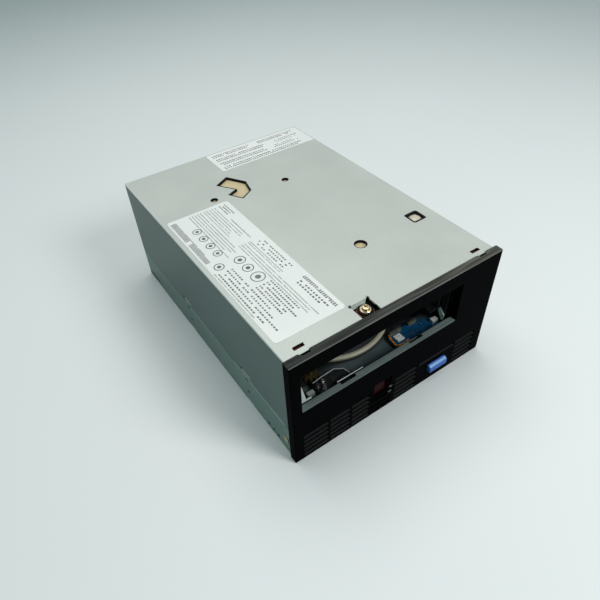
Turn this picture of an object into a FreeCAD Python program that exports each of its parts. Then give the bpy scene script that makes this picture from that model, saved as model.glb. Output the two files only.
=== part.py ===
# Full-height tape drive for a 5.25 inch bay: sheet case, moulded bezel, cast deck,
# cartridge loader, two reel motors, tape guides, head lift and threading arm.
#
# Frame: +Z up, +X right seen from the front, the front looks to -Y, millimetres.
# The origin is the centre of the four tapped holes in the bottom of the case.

import FreeCAD, Part
import math
import os
import Sketcher

doc = FreeCAD.newDocument("tape_drive")
sheet = doc.addObject("Spreadsheet::Sheet", "Sizes")

DRIVING_SIZES = {
    # case, to the full-height 5.25 inch form factor
    "body_width": 146.05,
    "body_depth": 205.5,
    "body_height": 82.5,
    "case_sheet": 1.0,
    "seam_height": 24.0,
    "seam_gap": 0.6,
    "hole_setback": 47.4,
    "hole_pitch": 79.25,
    "hole_low": 10.0,
    "hole_rise": 11.84,
    "bottom_inset": 3.175,
    "mount_radius": 1.5,
    "tab_width": 11.0,
    "tab_rise": 5.4,
    "face_clearance": 0.1,
    # bezel and cartridge slot
    "bezel_width": 148.3,
    "bezel_foot": 0.3,
    "bezel_top": 83.4,
    "bezel_depth": 5.4,
    "bezel_wall": 2.2,
    "slot_width": 112.3,
    "slot_sill": 43.6,
    "slot_height": 29.4,
    "sill_sheet": 0.8,
    "sill_rear": 1.4,
    "louvre_pitch": 4.2,
    "louvre_gap": 2.3,
    "louvre_count": 5.0,
    "louvre_foot": 3.2,
    # display, status lights and eject button
    "display_x": -12.0,
    "display_width": 10.0,
    "display_foot": 15.5,
    "display_height": 12.0,
    "light_x": -3.2,
    "button_x": 33.5,
    "button_width": 14.6,
    "button_foot": 9.8,
    "button_height": 5.4,
    "button_proud": 2.6,
    "button_travel": 1.0,
    "button_clearance": 0.3,
    # cartridge and loader
    "cartridge_width": 102.0,
    "cartridge_height": 21.5,
    "loader_inset": 6.525,
    "cradle_room": 2.75,
    "drive_room": 0.5,
    "frame_headroom": 3.5,
    "yoke_headroom": 5.1,
    "loader_headroom": 7.5,
    "loader_floor": 35.5,
    "loader_sheet": 1.0,
    "carrier_floor": 48.0,
    "carrier_length": 84.0,
    "carrier_drop": 6.0,
    "cam_travel": 12.0,
    "cam_length": 78.0,
    "pin_radius": 1.5,
    "pin_clearance": 0.15,
    "slide_gap": 0.5,
    "gear_module": 1.0,
    "pinion_teeth": 9.0,
    "gear_teeth": 16.0,
    "gear_backlash": 0.3,
    # deck and its rubber mounts
    "deck_top": 30.0,
    "deck_plate": 4.0,
    "deck_side_gap": 5.025,
    "deck_setback": 3.0,
    "deck_length": 197.0,
    "mount_post_inset": 8.5,
    "mount_post_radius": 4.5,
    # reels
    "supply_y": 50.6,
    "turntable_radius": 39.2,
    "rotor_radius": 25.5,
    "spindle_radius": 3.0,
    "running_clearance": 0.05,
    "takeup_x": -18.0,
    "takeup_y": 152.0,
    "reel_radius": 44.5,
    "reel_hub_radius": 22.0,
    "reel_foot": 44.4,
    "tape_gap": 14.4,
    # tape guides, head and threading arm
    "roller_radius": 5.5,
    "roller_foot": 45.0,
    "roller_height": 15.5,
    "roller_pin_radius": 1.5,
    "arm_x": 30.0,
    "arm_y": 133.0,
    "arm_reach": 37.5,
    "arm_foot": 63.8,
    "head_travel": 3.8,
    "head_foot": 42.0,
    "head_height": 14.0,
    "head_screw_radius": 1.8,
    "head_rod_radius": 1.5,
    # electronics
    "board_sheet": 1.6,
    "board_foot": 7.0,
}

for row, (alias, number) in enumerate(DRIVING_SIZES.items(), start=1):
    sheet.set(f"A{row}", alias)
    sheet.set(f"B{row}", str(number))
    sheet.setAlias(f"B{row}", alias)
doc.recompute()


class Size:
    """A length that keeps the spreadsheet formula it comes from."""

    def __init__(self, formula, value):
        self.formula = formula
        self.value = value

    def joined(self, sign, other, value):
        return Size(f"({self.formula} {sign} {other.formula})", value)

    def __add__(self, other):
        other = asSize(other)
        return self.joined("+", other, self.value + other.value)

    def __sub__(self, other):
        other = asSize(other)
        return self.joined("-", other, self.value - other.value)

    def __mul__(self, other):
        other = asSize(other)
        return self.joined("*", other, self.value * other.value)

    def __truediv__(self, other):
        other = asSize(other)
        return self.joined("/", other, self.value / other.value)

    def __radd__(self, other):
        return asSize(other) + self

    def __rsub__(self, other):
        return asSize(other) - self

    def __rmul__(self, other):
        return asSize(other) * self

    def __neg__(self):
        return Size(f"(-1 * {self.formula})", -self.value)


def asSize(number):
    if isinstance(number, Size):
        return number
    return Size(f"({float(number)!r})", float(number))


class SizeTable:
    """Gives each spreadsheet cell as an attribute: s.body_width."""

    def __getattr__(self, alias):
        if alias not in DRIVING_SIZES:
            raise AttributeError(alias)
        return Size(f"Sizes.{alias}", float(sheet.get(alias)))


s = SizeTable()
FRONT = -1 * (s.hole_setback + s.hole_pitch / 2)
WALL_X = s.body_width / 2
INNER_X = WALL_X - s.case_sheet
TRAY_TOP = s.seam_height - s.seam_gap / 2
SKIRT_FOOT = s.seam_height + s.seam_gap / 2
COVER_UNDER = s.body_height - s.case_sheet
REAR = FRONT + s.body_depth
LOADER_LEFT = s.loader_inset - INNER_X
LOADER_MIDDLE = LOADER_LEFT + s.cradle_room + s.cartridge_width / 2
LOADER_RIGHT = LOADER_MIDDLE + s.cartridge_width / 2 + s.cradle_room + s.drive_room
SLOT_LEFT = LOADER_MIDDLE - s.slot_width / 2
SLOT_RIGHT = LOADER_MIDDLE + s.slot_width / 2
SLOT_TOP = s.slot_sill + s.slot_height
SILL_STEP = s.sill_rear + s.sill_sheet
DECK_UNDER = s.deck_top - s.deck_plate
DECK_HALF = INNER_X - s.deck_side_gap
POST_X = DECK_HALF - s.mount_post_inset
FRAME_TOP = COVER_UNDER - s.frame_headroom
YOKE_TOP = COVER_UNDER - s.yoke_headroom
LOADER_TOP = COVER_UNDER - s.loader_headroom
CASE_SCREW = (4.6, 12.0)
COVER_SCREW = (-17.5, 7.0)
LATCH_INSETS = (14.5, 8.0)

nodes = {}
board_spacers = []
loader_fasteners = []


def behind(distance):
    """A place so far behind the front edge of the case."""
    return FRONT + distance


def bind(thing, name, size):
    """Sets a property, by a formula where the size comes from the sheet."""
    size = asSize(size)
    if "Sizes." in size.formula:
        thing.setExpression(name, size.formula)
    elif name.startswith("Placement.Base."):
        place = thing.Placement
        setattr(place.Base, name[-1], size.value)
        thing.Placement = place
    else:
        setattr(thing, name, size.value)


def place(thing, x, y, z):
    for letter, size in zip("xyz", (x, y, z)):
        bind(thing, f"Placement.Base.{letter}", size)
    return thing


def keep(thing, name):
    thing.Label = name
    nodes[name] = thing
    return thing


# ---- Part primitives -------------------------------------------------------

def box(x, y, z):
    """A block between the low and high end on each axis."""
    block = doc.addObject("Part::Box", "block")
    place(block, x[0], y[0], z[0])
    for name, ends in zip(("Length", "Width", "Height"), (x, y, z)):
        bind(block, name, asSize(ends[1]) - ends[0])
    return block


def rod(x, y, z, radius):
    """An upright cylinder from z[0] to z[1]."""
    cylinder = doc.addObject("Part::Cylinder", "rod")
    bind(cylinder, "Radius", radius)
    bind(cylinder, "Height", asSize(z[1]) - z[0])
    return place(cylinder, x, y, z[0])


def rodAlongX(x, y, z, radius):
    cylinder = doc.addObject("Part::Cylinder", "rod")
    cylinder.Placement.Rotation = FreeCAD.Rotation(FreeCAD.Vector(0, 1, 0), 90)
    bind(cylinder, "Radius", radius)
    bind(cylinder, "Height", asSize(x[1]) - x[0])
    return place(cylinder, x[0], y, z)


def rodAlongY(x, y, z, radius):
    cylinder = doc.addObject("Part::Cylinder", "rod")
    cylinder.Placement.Rotation = FreeCAD.Rotation(FreeCAD.Vector(1, 0, 0), -90)
    bind(cylinder, "Radius", radius)
    bind(cylinder, "Height", asSize(y[1]) - y[0])
    return place(cylinder, x, y[0], z)


def fused(parts):
    if len(parts) == 1:
        return parts[0]
    whole = doc.addObject("Part::MultiFuse", "fused")
    whole.Shapes = parts
    return whole


def cut(base, tools):
    rest = doc.addObject("Part::Cut", "cut")
    rest.Base = base
    rest.Tool = fused(tools)
    return rest


def group(parts):
    """Separate solids that share one node."""
    together = doc.addObject("Part::Compound", "group")
    together.Links = parts
    return together


# ---- PartDesign bodies -----------------------------------------------------

class Piece:
    """A PartDesign body whose sketches follow the spreadsheet."""

    def __init__(self, name, x=0, y=0, z=0):
        self.body = doc.addObject("PartDesign::Body", name)
        self.body.Label = name
        place(self.body, x, y, z)

    def origin(self, role):
        return [f for f in self.body.Origin.OriginFeatures if f.Role == role][0]

    def sketch(self, role, lift=0):
        """A sketch on XY at height lift, on XZ at y = lift, or on YZ at x = lift."""
        drawing = self.body.newObject("Sketcher::SketchObject", "sketch")
        drawing.AttachmentSupport = [(self.origin(role), "")]
        drawing.MapMode = "FlatFace"
        lift = asSize(lift)
        if role == "XZ_Plane":
            lift = -lift
        if "Sizes." in lift.formula:
            drawing.setExpression("AttachmentOffset.Base.z", lift.formula)
        else:
            drawing.AttachmentOffset = FreeCAD.Placement(
                FreeCAD.Vector(0, 0, lift.value), FreeCAD.Rotation())
        return drawing

    def feature(self, kind, drawing, reverse):
        made = self.body.newObject(f"PartDesign::{kind}", kind.lower())
        made.Profile = drawing
        made.Reversed = reverse
        return made

    def pad(self, drawing, length, reverse=False):
        made = self.feature("Pad", drawing, reverse)
        bind(made, "Length", length)
        return made

    def pocket(self, drawing, length=None, reverse=False, both=False):
        made = self.feature("Pocket", drawing, reverse)
        if length is None:
            made.Type = "ThroughAll"
            made.Midplane = both
        else:
            bind(made, "Length", length)
        return made

    def revolve(self, drawing):
        made = self.body.newObject("PartDesign::Revolution", "turned")
        made.Profile = drawing
        made.ReferenceAxis = (drawing, ["V_Axis"])
        made.Angle = 360
        return made

    def row(self, made, role, pitch, count):
        """Repeats a feature along an origin axis."""
        pattern = self.body.newObject("PartDesign::LinearPattern", "row")
        pattern.Originals = [made]
        pattern.Direction = (self.origin(role), [""])
        bind(pattern, "Length", pitch * (asSize(count) - 1))
        pattern.Occurrences = int(round(asSize(count).value))
        self.body.Tip = pattern
        return pattern

    def ring(self, made, count):
        """Repeats a feature round the body's own Z axis."""
        pattern = self.body.newObject("PartDesign::PolarPattern", "ring")
        pattern.Originals = [made]
        pattern.Axis = (self.origin("Z_Axis"), [""])
        pattern.Angle = 360
        pattern.Occurrences = int(round(asSize(count).value))
        self.body.Tip = pattern
        return pattern

    def mirror(self, made, role):
        pattern = self.body.newObject("PartDesign::Mirrored", "mirror")
        pattern.Originals = [made]
        pattern.MirrorPlane = (self.origin(role), [""])
        self.body.Tip = pattern
        return pattern

    def dress(self, kind, name, size, chosen):
        """A fillet or chamfer on the edges for which chosen(edge) holds."""
        doc.recompute()
        shape = self.body.Tip.Shape
        names = [f"Edge{i}" for i, edge in enumerate(shape.Edges, start=1) if chosen(edge)]
        made = self.body.newObject(f"PartDesign::{kind}", kind.lower())
        made.Base = (made.BaseFeature or self.body.Tip, names)
        bind(made, name, size)
        self.body.Tip = made
        return made

    def fillet(self, radius, chosen):
        return self.dress("Fillet", "Radius", radius, chosen)

    def chamfer(self, size, chosen):
        return self.dress("Chamfer", "Size", size, chosen)


def outline(drawing, points):
    """A closed polygon, each corner held by its two distances from the origin."""
    corners = [(asSize(x), asSize(y)) for x, y in points]
    first = drawing.GeometryCount
    count = len(corners)
    spots = [FreeCAD.Vector(x.value, y.value, 0) for x, y in corners]
    for i in range(count):
        drawing.addGeometry(Part.LineSegment(spots[i], spots[(i + 1) % count]))
    for i in range(count):
        following = first + (i + 1) % count
        drawing.addConstraint(Sketcher.Constraint("Coincident", first + i, 2, following, 1))
    for i, corner in enumerate(corners):
        for kind, size in zip(("DistanceX", "DistanceY"), corner):
            rule = drawing.addConstraint(
                Sketcher.Constraint(kind, -1, 1, first + i, 1, size.value))
            if "Sizes." in size.formula:
                drawing.setExpression(f"Constraints[{rule}]", size.formula)


def rectangle(drawing, x, y):
    outline(drawing, [(x[0], y[0]), (x[1], y[0]), (x[1], y[1]), (x[0], y[1])])


def circle(drawing, x, y, radius):
    x, y, radius = asSize(x), asSize(y), asSize(radius)
    index = drawing.addGeometry(
        Part.Circle(FreeCAD.Vector(x.value, y.value, 0), FreeCAD.Vector(0, 0, 1), radius.value))
    rules = (("DistanceX", (-1, 1, index, 3), x), ("DistanceY", (-1, 1, index, 3), y),
             ("Radius", (index,), radius))
    for kind, ends, size in rules:
        rule = drawing.addConstraint(Sketcher.Constraint(kind, *ends, size.value))
        if "Sizes." in size.formula:
            drawing.setExpression(f"Constraints[{rule}]", size.formula)


def turned(name, profile, x=0, y=0, z=0):
    """A piece turned about an upright axis at x, y from its half section (r, z)."""
    piece = Piece(name, x, y, z)
    section = piece.sketch("XZ_Plane")
    outline(section, profile)
    piece.revolve(section)
    return piece


def ordered(a, b):
    return (a, b) if asSize(a).value < asSize(b).value else (b, a)


def along(edge, axis):
    """True for a straight edge that runs along X, Y or Z."""
    if not isinstance(edge.Curve, Part.Line):
        return False
    return abs(abs(getattr(edge.Curve.Direction, axis)) - 1) < 1e-6


def at(edge, axis, *values):
    """True where an edge's middle lies at one of the values on an axis."""
    middle = getattr(edge.CenterOfMass, axis)
    return any(abs(middle - asSize(v).value) < 1e-4 for v in values)


# ---- case -------------------------------------------------------------------

def makeBottomTray():
    """Bottom half of the case, a folded sheet with tapped mounting holes."""
    tray = Piece("bottom_tray", 0, FRONT, 0)
    fold = tray.sketch("XZ_Plane")
    outline(fold, [(-WALL_X, 0), (WALL_X, 0), (WALL_X, TRAY_TOP), (INNER_X, TRAY_TOP),
                   (INNER_X, s.case_sheet), (-INNER_X, s.case_sheet), (-INNER_X, TRAY_TOP),
                   (-WALL_X, TRAY_TOP)])
    tray.pad(fold, s.body_depth, reverse=True)
    tabs = tray.sketch("YZ_Plane", -WALL_X)
    half, bevel = s.tab_width / 2, 1.5
    top = TRAY_TOP + s.tab_rise - s.seam_gap
    for middle in (s.hole_setback, s.hole_setback + s.hole_pitch):
        outline(tabs, [(middle - half, TRAY_TOP - 1), (middle + half, TRAY_TOP - 1),
                       (middle + half, top - bevel), (middle + half - bevel, top),
                       (middle - half + bevel, top), (middle - half, top - bevel)])
    tray.mirror(tray.pad(tabs, s.case_sheet), "YZ_Plane")
    taps = tray.sketch("YZ_Plane")
    for middle in (s.hole_setback, s.hole_setback + s.hole_pitch):
        for height in (s.hole_low, s.hole_low + s.hole_rise):
            circle(taps, middle, height, s.mount_radius)
    circle(taps, CASE_SCREW[0], CASE_SCREW[1], 1.3)
    tray.pocket(taps, both=True)
    feet = tray.sketch("XY_Plane", s.case_sheet)
    for middle in (s.hole_setback, s.hole_setback + s.hole_pitch):
        for x in (s.bottom_inset - WALL_X, WALL_X - s.bottom_inset):
            circle(feet, x, middle, s.mount_radius)
    tray.pocket(feet)
    notches = tray.sketch("YZ_Plane", -WALL_X)
    for start, end, height in ((13.0, 15.5, 5.0), (18.0, 20.5, 5.0), (23.0, 25.5, 5.0)):
        rectangle(notches, (start, end), (1.6, height))
    rectangle(notches, (s.body_depth - 19.5, s.body_depth - 3.5), (1.6, 5.0))
    tray.mirror(tray.pocket(notches, s.case_sheet * 1.5, reverse=True), "YZ_Plane")
    return tray


def makeTopCover():
    """Upper half of the case: top, both skirts and the openings in its top."""
    cover = Piece("top_cover", 0, FRONT, 0)
    fold = cover.sketch("XZ_Plane")
    outline(fold, [(-WALL_X, SKIRT_FOOT), (-INNER_X, SKIRT_FOOT), (-INNER_X, COVER_UNDER),
                   (INNER_X, COVER_UNDER), (INNER_X, SKIRT_FOOT), (WALL_X, SKIRT_FOOT),
                   (WALL_X, s.body_height), (-WALL_X, s.body_height)])
    cover.pad(fold, s.body_depth, reverse=True)
    reliefs = cover.sketch("YZ_Plane")
    half = s.tab_width / 2 + s.seam_gap
    for middle in (s.hole_setback, s.hole_setback + s.hole_pitch):
        rectangle(reliefs, (middle - half, middle + half),
                  (SKIRT_FOOT - 1, SKIRT_FOOT + s.tab_rise - s.seam_gap))
    cover.pocket(reliefs, both=True)
    holes = cover.sketch("XY_Plane", s.body_height)
    circle(holes, -32.4, 146.5, 2.65)
    circle(holes, 19.8, 139.2, 2.6)
    circle(holes, 14.0, 49.3, 4.1)
    square_x, square_y = (WALL_X - 19.2, WALL_X - 8.8), (45.4, 55.8)
    rectangle(holes, square_x, square_y)
    outline(holes, [(-11.3, 168.5), (-3.1, 154.4), (-6.0, 142.0), (-15.8, 136.1),
                    (-21.9, 146.5), (-14.6, 149.7), (-22.7, 162.3)])
    for side in (-1, 1):
        rectangle(holes, ordered(*(side * (WALL_X - inset) for inset in LATCH_INSETS)), (3.4, 5.2))
    cover.pocket(holes, s.case_sheet)
    mouth = cover.sketch("XY_Plane", s.body_height)
    outline(mouth, [(-25.0, -1.0), (-12.4, -1.0), (-12.4, 10.2), (-11.8, 10.2),
                    (-11.8, 12.4), (-13.6, 12.4), (-13.6, 11.4), (-23.8, 11.4),
                    (-23.8, 12.4), (-25.6, 12.4), (-25.6, 10.2), (-25.0, 10.2)])
    cover.pocket(mouth, s.case_sheet)
    lip = cover.sketch("XY_Plane", s.body_height)
    rectangle(lip, (-23.5, -13.9), (11.4, 11.4 + s.case_sheet))
    cover.pad(lip, 4.0, reverse=True)
    cover.fillet(s.case_sheet * 0.9,
                 lambda e: along(e, "y") and at(e, "z", s.body_height) and
                 (at(e, "x", WALL_X) or at(e, "x", -WALL_X)))
    corner = 1.5
    cover.fillet(corner, lambda e: along(e, "z") and
                 at(e, "x", *square_x) and at(e, "y", *square_y))
    return cover


PORTS = ((INNER_X - 77.025, INNER_X - 37.025), (INNER_X - 29.025, INNER_X - 8.025),
         (INNER_X - 117.025, INNER_X - 92.025))


def makeRearPanel():
    """Back wall with the connector cut-outs and a field of air slots."""
    inside = s.case_sheet + s.face_clearance
    panel = Piece("rear_panel", 0, REAR, 0)
    face = panel.sketch("XZ_Plane")
    rectangle(face, (-WALL_X + inside, WALL_X - inside), (s.case_sheet, COVER_UNDER))
    panel.pad(face, s.case_sheet)
    ports = panel.sketch("XZ_Plane")
    for (low, high), room, rise in zip(PORTS, (1.2, 1.0, 1.0), (19.0, 20.2, 18.0)):
        rectangle(ports, (low - room, high + room), (8.2, rise))
    panel.pocket(ports, reverse=True)
    slots = panel.sketch("XZ_Plane")
    for level in range(7):
        foot = 34.0 + 5.6 * level
        rectangle(slots, (-62.0, -49.0), (foot, foot + 2.6))
    panel.row(panel.pocket(slots, reverse=True), "X_Axis", 18.5, 7)
    return panel


# ---- front frame, bezel and panel parts --------------------------------------

def makeFrontFrame():
    """Sheet frame behind the bezel, with the slot's sill stepped forwards."""
    inside = s.case_sheet + s.face_clearance
    side = WALL_X - inside
    sill = s.slot_sill + 0.1
    sill_top, foot = sill + s.sill_sheet, sill - 2.8
    frame = Piece("front_frame", 0, FRONT, 0)
    web = frame.sketch("XZ_Plane")
    rectangle(web, (-side, side), (s.case_sheet, FRAME_TOP))
    frame.pad(web, s.case_sheet, reverse=True)
    shelf = frame.sketch("YZ_Plane", SLOT_LEFT + 0.4)
    lip = s.bezel_depth - 0.3
    outline(shelf, [(-lip, sill), (-SILL_STEP, sill), (-SILL_STEP, foot - s.sill_sheet),
                    (0, foot - s.sill_sheet), (0, foot), (-s.sill_rear, foot),
                    (-s.sill_rear, sill_top), (-lip, sill_top)])
    frame.pad(shelf, s.slot_width - 0.8)
    flanges = frame.sketch("XZ_Plane", s.case_sheet)
    rectangle(flanges, (-side, side), (FRAME_TOP - 1.0, FRAME_TOP))
    frame.pad(flanges, 11.0, reverse=True)
    cheeks = frame.sketch("XZ_Plane", s.case_sheet)
    for end in (-1, 1):
        inner, outer = end * (side - s.case_sheet), end * side
        rectangle(cheeks, ordered(inner, outer), (2.0, FRAME_TOP - 1.0))
    frame.pad(cheeks, 14.0, reverse=True)
    windows = frame.sketch("XZ_Plane", -0.5)
    # the web stands up to the sill at two tabs and leans back at the left jamb
    outline(windows, [(SLOT_LEFT + 9.6, foot), (SLOT_LEFT + 26.9, foot), (SLOT_LEFT + 26.9, sill),
                      (SLOT_LEFT + 44.9, sill), (SLOT_LEFT + 44.9, foot), (SLOT_RIGHT + 0.4, foot),
                      (SLOT_RIGHT + 0.4, SLOT_TOP), (SLOT_LEFT + 0.4, SLOT_TOP),
                      (SLOT_LEFT + 6.3, sill_top), (SLOT_LEFT + 9.6, sill_top)])
    rectangle(windows, (7.0 - WALL_X, -25.5), (3.4, 24.0))
    rectangle(windows, (-20.6, -0.6), (11.0, 29.2))
    rectangle(windows, (s.button_x - 11.3, s.button_x + 11.3), (5.6, 19.4))
    rectangle(windows, (51.5, WALL_X - 6.0), (3.4, 24.0))
    frame.pocket(windows, 2)
    slots = frame.sketch("XY_Plane", SLOT_TOP)
    for left in (SLOT_LEFT + 27.4, SLOT_LEFT + 77.2):
        rectangle(slots, (left, left + 10.4), (-3.1, 0.4 - s.sill_rear))
    frame.pocket(slots, SLOT_TOP - sill + 1.5)
    taps = frame.sketch("YZ_Plane")
    circle(taps, *CASE_SCREW, 1.25)
    frame.pocket(taps, both=True)
    screw = frame.sketch("XY_Plane", FRAME_TOP)
    circle(screw, *COVER_SCREW, 1.6)
    frame.pocket(screw, 2)
    return frame


def makeBezel():
    """Moulded front with the cartridge slot, louvres, display and button openings."""
    half, rim = s.bezel_width / 2, 2.0
    bezel = Piece("bezel", 0, FRONT, 0)
    face = bezel.sketch("XZ_Plane")
    rectangle(face, (-half, half), (s.bezel_foot, s.bezel_top))
    bezel.pad(face, s.bezel_depth)
    bezel.fillet(0.8, lambda e: at(e, "y", -s.bezel_depth))
    mouth = bezel.sketch("XZ_Plane")
    rectangle(mouth, (SLOT_LEFT, SLOT_RIGHT), (s.slot_sill, SLOT_TOP))
    bezel.pocket(mouth, reverse=True)
    hollow = bezel.sketch("XZ_Plane")
    low, high = s.bezel_foot + rim, s.bezel_top - rim
    outline(hollow, [(-half + rim, low), (half - rim, low), (half - rim, high),
                     (-half + rim, high), (-half + rim, SLOT_TOP + rim),
                     (SLOT_RIGHT + rim, SLOT_TOP + rim), (SLOT_RIGHT + rim, s.slot_sill - rim),
                     (-half + rim, s.slot_sill - rim)])
    bezel.pocket(hollow, s.bezel_depth - s.bezel_wall, reverse=True)
    sill_room = bezel.sketch("XZ_Plane")
    rectangle(sill_room, (SLOT_LEFT, SLOT_RIGHT), (s.slot_sill - rim - 0.1, s.slot_sill))
    bezel.pocket(sill_room, SILL_STEP + 0.4, reverse=True)
    recess = bezel.sketch("XZ_Plane", -s.bezel_depth)
    rectangle(recess, (s.display_x - 8.0, s.display_x + 7.4),
              (s.display_foot - 3.0, s.display_foot + s.display_height + 0.8))
    bezel.pocket(recess, 1.0)
    openings = bezel.sketch("XZ_Plane", -s.bezel_depth)
    rectangle(openings, (s.display_x - s.display_width / 2, s.display_x + s.display_width / 2),
              (s.display_foot, s.display_foot + s.display_height))
    grip = s.button_clearance
    rectangle(openings, (s.button_x - s.button_width / 2 - grip, s.button_x + s.button_width / 2 + grip),
              (s.button_foot - grip, s.button_foot + s.button_height + grip))
    for height in (14.8, 18.8):
        circle(openings, s.light_x, height, 0.9)
    top_row = s.louvre_foot + s.louvre_pitch * (s.louvre_count - 1)
    rectangle(openings, (18.0, 48.2), (top_row, top_row + s.louvre_gap))
    for row in range(2):
        foot = s.louvre_foot + s.louvre_pitch * row
        rectangle(openings, (-20.0, -4.4), (foot, foot + s.louvre_gap))
    bezel.pocket(openings)
    louvres = bezel.sketch("XZ_Plane", -s.bezel_depth)
    for left, right in ((-68.0, -50.7), (-49.7, -35.2), (-34.2, -21.0), (-1.2, 16.6), (49.2, 66.4)):
        rectangle(louvres, (left, right), (s.louvre_foot, s.louvre_foot + s.louvre_gap))
    bezel.row(bezel.pocket(louvres), "Z_Axis", s.louvre_pitch, s.louvre_count)
    latches = bezel.sketch("XY_Plane", s.bezel_top)
    for end in (-1, 1):
        rectangle(latches, ordered(*(end * (WALL_X - inset) for inset in LATCH_INSETS)), (-1.0, 0.5))
    bezel.pocket(latches, 1.6)
    return bezel


def makeEjectButton():
    """Button cap with a retaining flange and the stem that works the switch."""
    left, right = s.button_x - s.button_width / 2, s.button_x + s.button_width / 2
    top = s.button_foot + s.button_height
    inner = -(s.bezel_depth - s.bezel_wall) + 0.1
    button = Piece("eject_button", 0, FRONT, 0)
    cap = button.sketch("XZ_Plane", inner)
    rectangle(cap, (left, right), (s.button_foot, top))
    button.pad(cap, s.bezel_depth + inner + s.button_proud)
    button.fillet(0.9, lambda e: at(e, "y", -s.bezel_depth - s.button_proud))
    flange = button.sketch("XZ_Plane", inner)
    rectangle(flange, (left - 0.9, right + 0.9), (s.button_foot - 0.9, top + 0.9))
    button.pad(flange, 0.8, reverse=True)
    stem = button.sketch("XZ_Plane", inner + 0.8)
    circle(stem, s.button_x, s.button_foot + s.button_height / 2, 2.2)
    button.pad(stem, 0.4, reverse=True)
    return button


def makePanelParts():
    """Display, lights, switch and the small board that carries them."""
    button_mid = s.button_foot + s.button_height / 2
    left, right = s.display_x - s.display_width / 2, s.display_x + s.display_width / 2
    display_top = s.display_foot + s.display_height
    wall_back = -(s.bezel_depth - s.bezel_wall)
    window = box((left - 1, right + 1), (behind(wall_back), behind(wall_back + 0.9)),
                 (s.display_foot - 1, display_top + 1))
    keep(window, "display_window")
    module = box((left + 0.6, right - 0.6), (behind(wall_back + 0.9), behind(s.case_sheet)),
                 (s.display_foot + 0.4, display_top - 0.4))
    keep(module, "display_module")
    pipes = [rodAlongY(s.light_x, (behind(-s.bezel_depth), behind(0.2)), height, 0.8)
             for height in (14.8, 18.8)]
    keep(group(pipes), "light_pipes")
    board = box((-24.0, 50.0), (behind(s.case_sheet), behind(s.case_sheet + s.board_sheet)),
                (3.4, 34.0))
    keep(board, "front_board")
    switch_body = box((s.button_x - 3.0, s.button_x + 3.0),
                      (behind(-0.4), behind(s.case_sheet)), (button_mid - 3.0, button_mid + 3.0))
    stem_end = wall_back + 1.3
    plunger = rodAlongY(s.button_x, (behind(stem_end + s.button_travel + 0.1), behind(-0.4)),
                        button_mid, 1.6)
    lights = [box((s.light_x - 1.0, s.light_x + 1.0), (behind(0.2), behind(s.case_sheet)),
                  (height - 0.8, height + 0.8)) for height in (14.8, 18.8)]
    keep(group([fused([switch_body, plunger])] + lights), "front_board_parts")
    x, y = COVER_SCREW[0], behind(COVER_SCREW[1])
    seat = FRAME_TOP + 1.6
    boss = cut(rod(x, y, (FRAME_TOP, seat), 4.2), [rod(x, y, (FRAME_TOP - 0.5, seat + 0.4), 1.6)])
    keep(boss, "screw_boss")
    screw = turned("cover_screw", [(0, seat - 5.1), (1.5, seat - 5.1), (1.5, seat), (3.5, seat),
                                   (3.5, seat + 0.5), (2.7, seat + 0.7), (2.7, seat + 1.9),
                                   (2.3, seat + 2.3), (1.3, seat + 2.3), (1.3, seat + 1.2),
                                   (0, seat + 1.2)], x, y)
    keep(screw.body, "cover_screw")


def makeCaseScrews():
    """Low-headed screws through the case walls into the front frame and rear panel."""
    screws = []
    for end in (-1, 1):
        near, far = end * (WALL_X - 2.6), end * WALL_X
        head = end * (WALL_X + 0.8)
        y, z = behind(CASE_SCREW[0]), CASE_SCREW[1]
        shank = rodAlongX(ordered(near, far), y, z, 1.2)
        cap = rodAlongX(ordered(far, head), y, z, 2.4)
        screws.append(fused([shank, cap]))
    keep(group(screws), "case_screws")


# ---- deck ---------------------------------------------------------------------

MOUNTS_Y = (36.0, 180.0)
MOTOR_SPOT = (LOADER_LEFT + 17.6, 16.3)


def makeDeck():
    """Cast aluminium deck with a rim, ribs, motor bores and bosses."""
    half = DECK_HALF
    near, far = s.deck_setback, s.deck_setback + s.deck_length
    deck = Piece("deck", 0, FRONT, 0)
    plate = deck.sketch("XY_Plane", DECK_UNDER)
    bevel = 6.0
    outline(plate, [(-half + bevel, near), (half - bevel, near), (half, near + bevel),
                    (half, far - bevel), (half - bevel, far), (-half + bevel, far),
                    (-half, far - bevel), (-half, near + bevel)])
    deck.pad(plate, s.deck_plate)
    ribs = deck.sketch("XY_Plane", DECK_UNDER)
    for x in (-50.0, 14.0):
        rectangle(ribs, (x - 1.2, x + 1.2), (46.0, 176.0))
    deck.pad(ribs, 4.0, reverse=True)
    beams = deck.sketch("XY_Plane", DECK_UNDER)
    for y in (99.0, 184.0):
        rectangle(beams, (-50.0, 50.0), (y - 1.2, y + 1.2))
    deck.pad(beams, 4.0, reverse=True)
    bosses = deck.sketch("XY_Plane", s.deck_top)
    for x in (LOADER_LEFT + 4.5, LOADER_RIGHT - 4.0):
        for y in (20.0, 84.0):
            circle(bosses, x, y, 3.2)
    deck.pad(bosses, s.loader_floor - s.loader_sheet - s.deck_top)
    post = deck.sketch("XY_Plane", s.deck_top)
    circle(post, s.arm_x, s.arm_y, 4.0)
    deck.pad(post, 31.5)
    holes = deck.sketch("XY_Plane", s.deck_top)
    circle(holes, LOADER_MIDDLE, s.supply_y, 23.5)
    circle(holes, s.takeup_x, s.takeup_y, 23.5)
    circle(holes, *MOTOR_SPOT, 9.0)
    circle(holes, 46.0, 133.0, 2.2)
    for x in (-1, 1):
        for y in MOUNTS_Y:
            circle(holes, x * POST_X, y, 6.1)
    deck.pocket(holes, 12)
    bore = deck.sketch("XY_Plane", 62)
    circle(bore, s.arm_x, s.arm_y, 2.05)
    deck.pocket(bore)
    return deck


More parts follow.
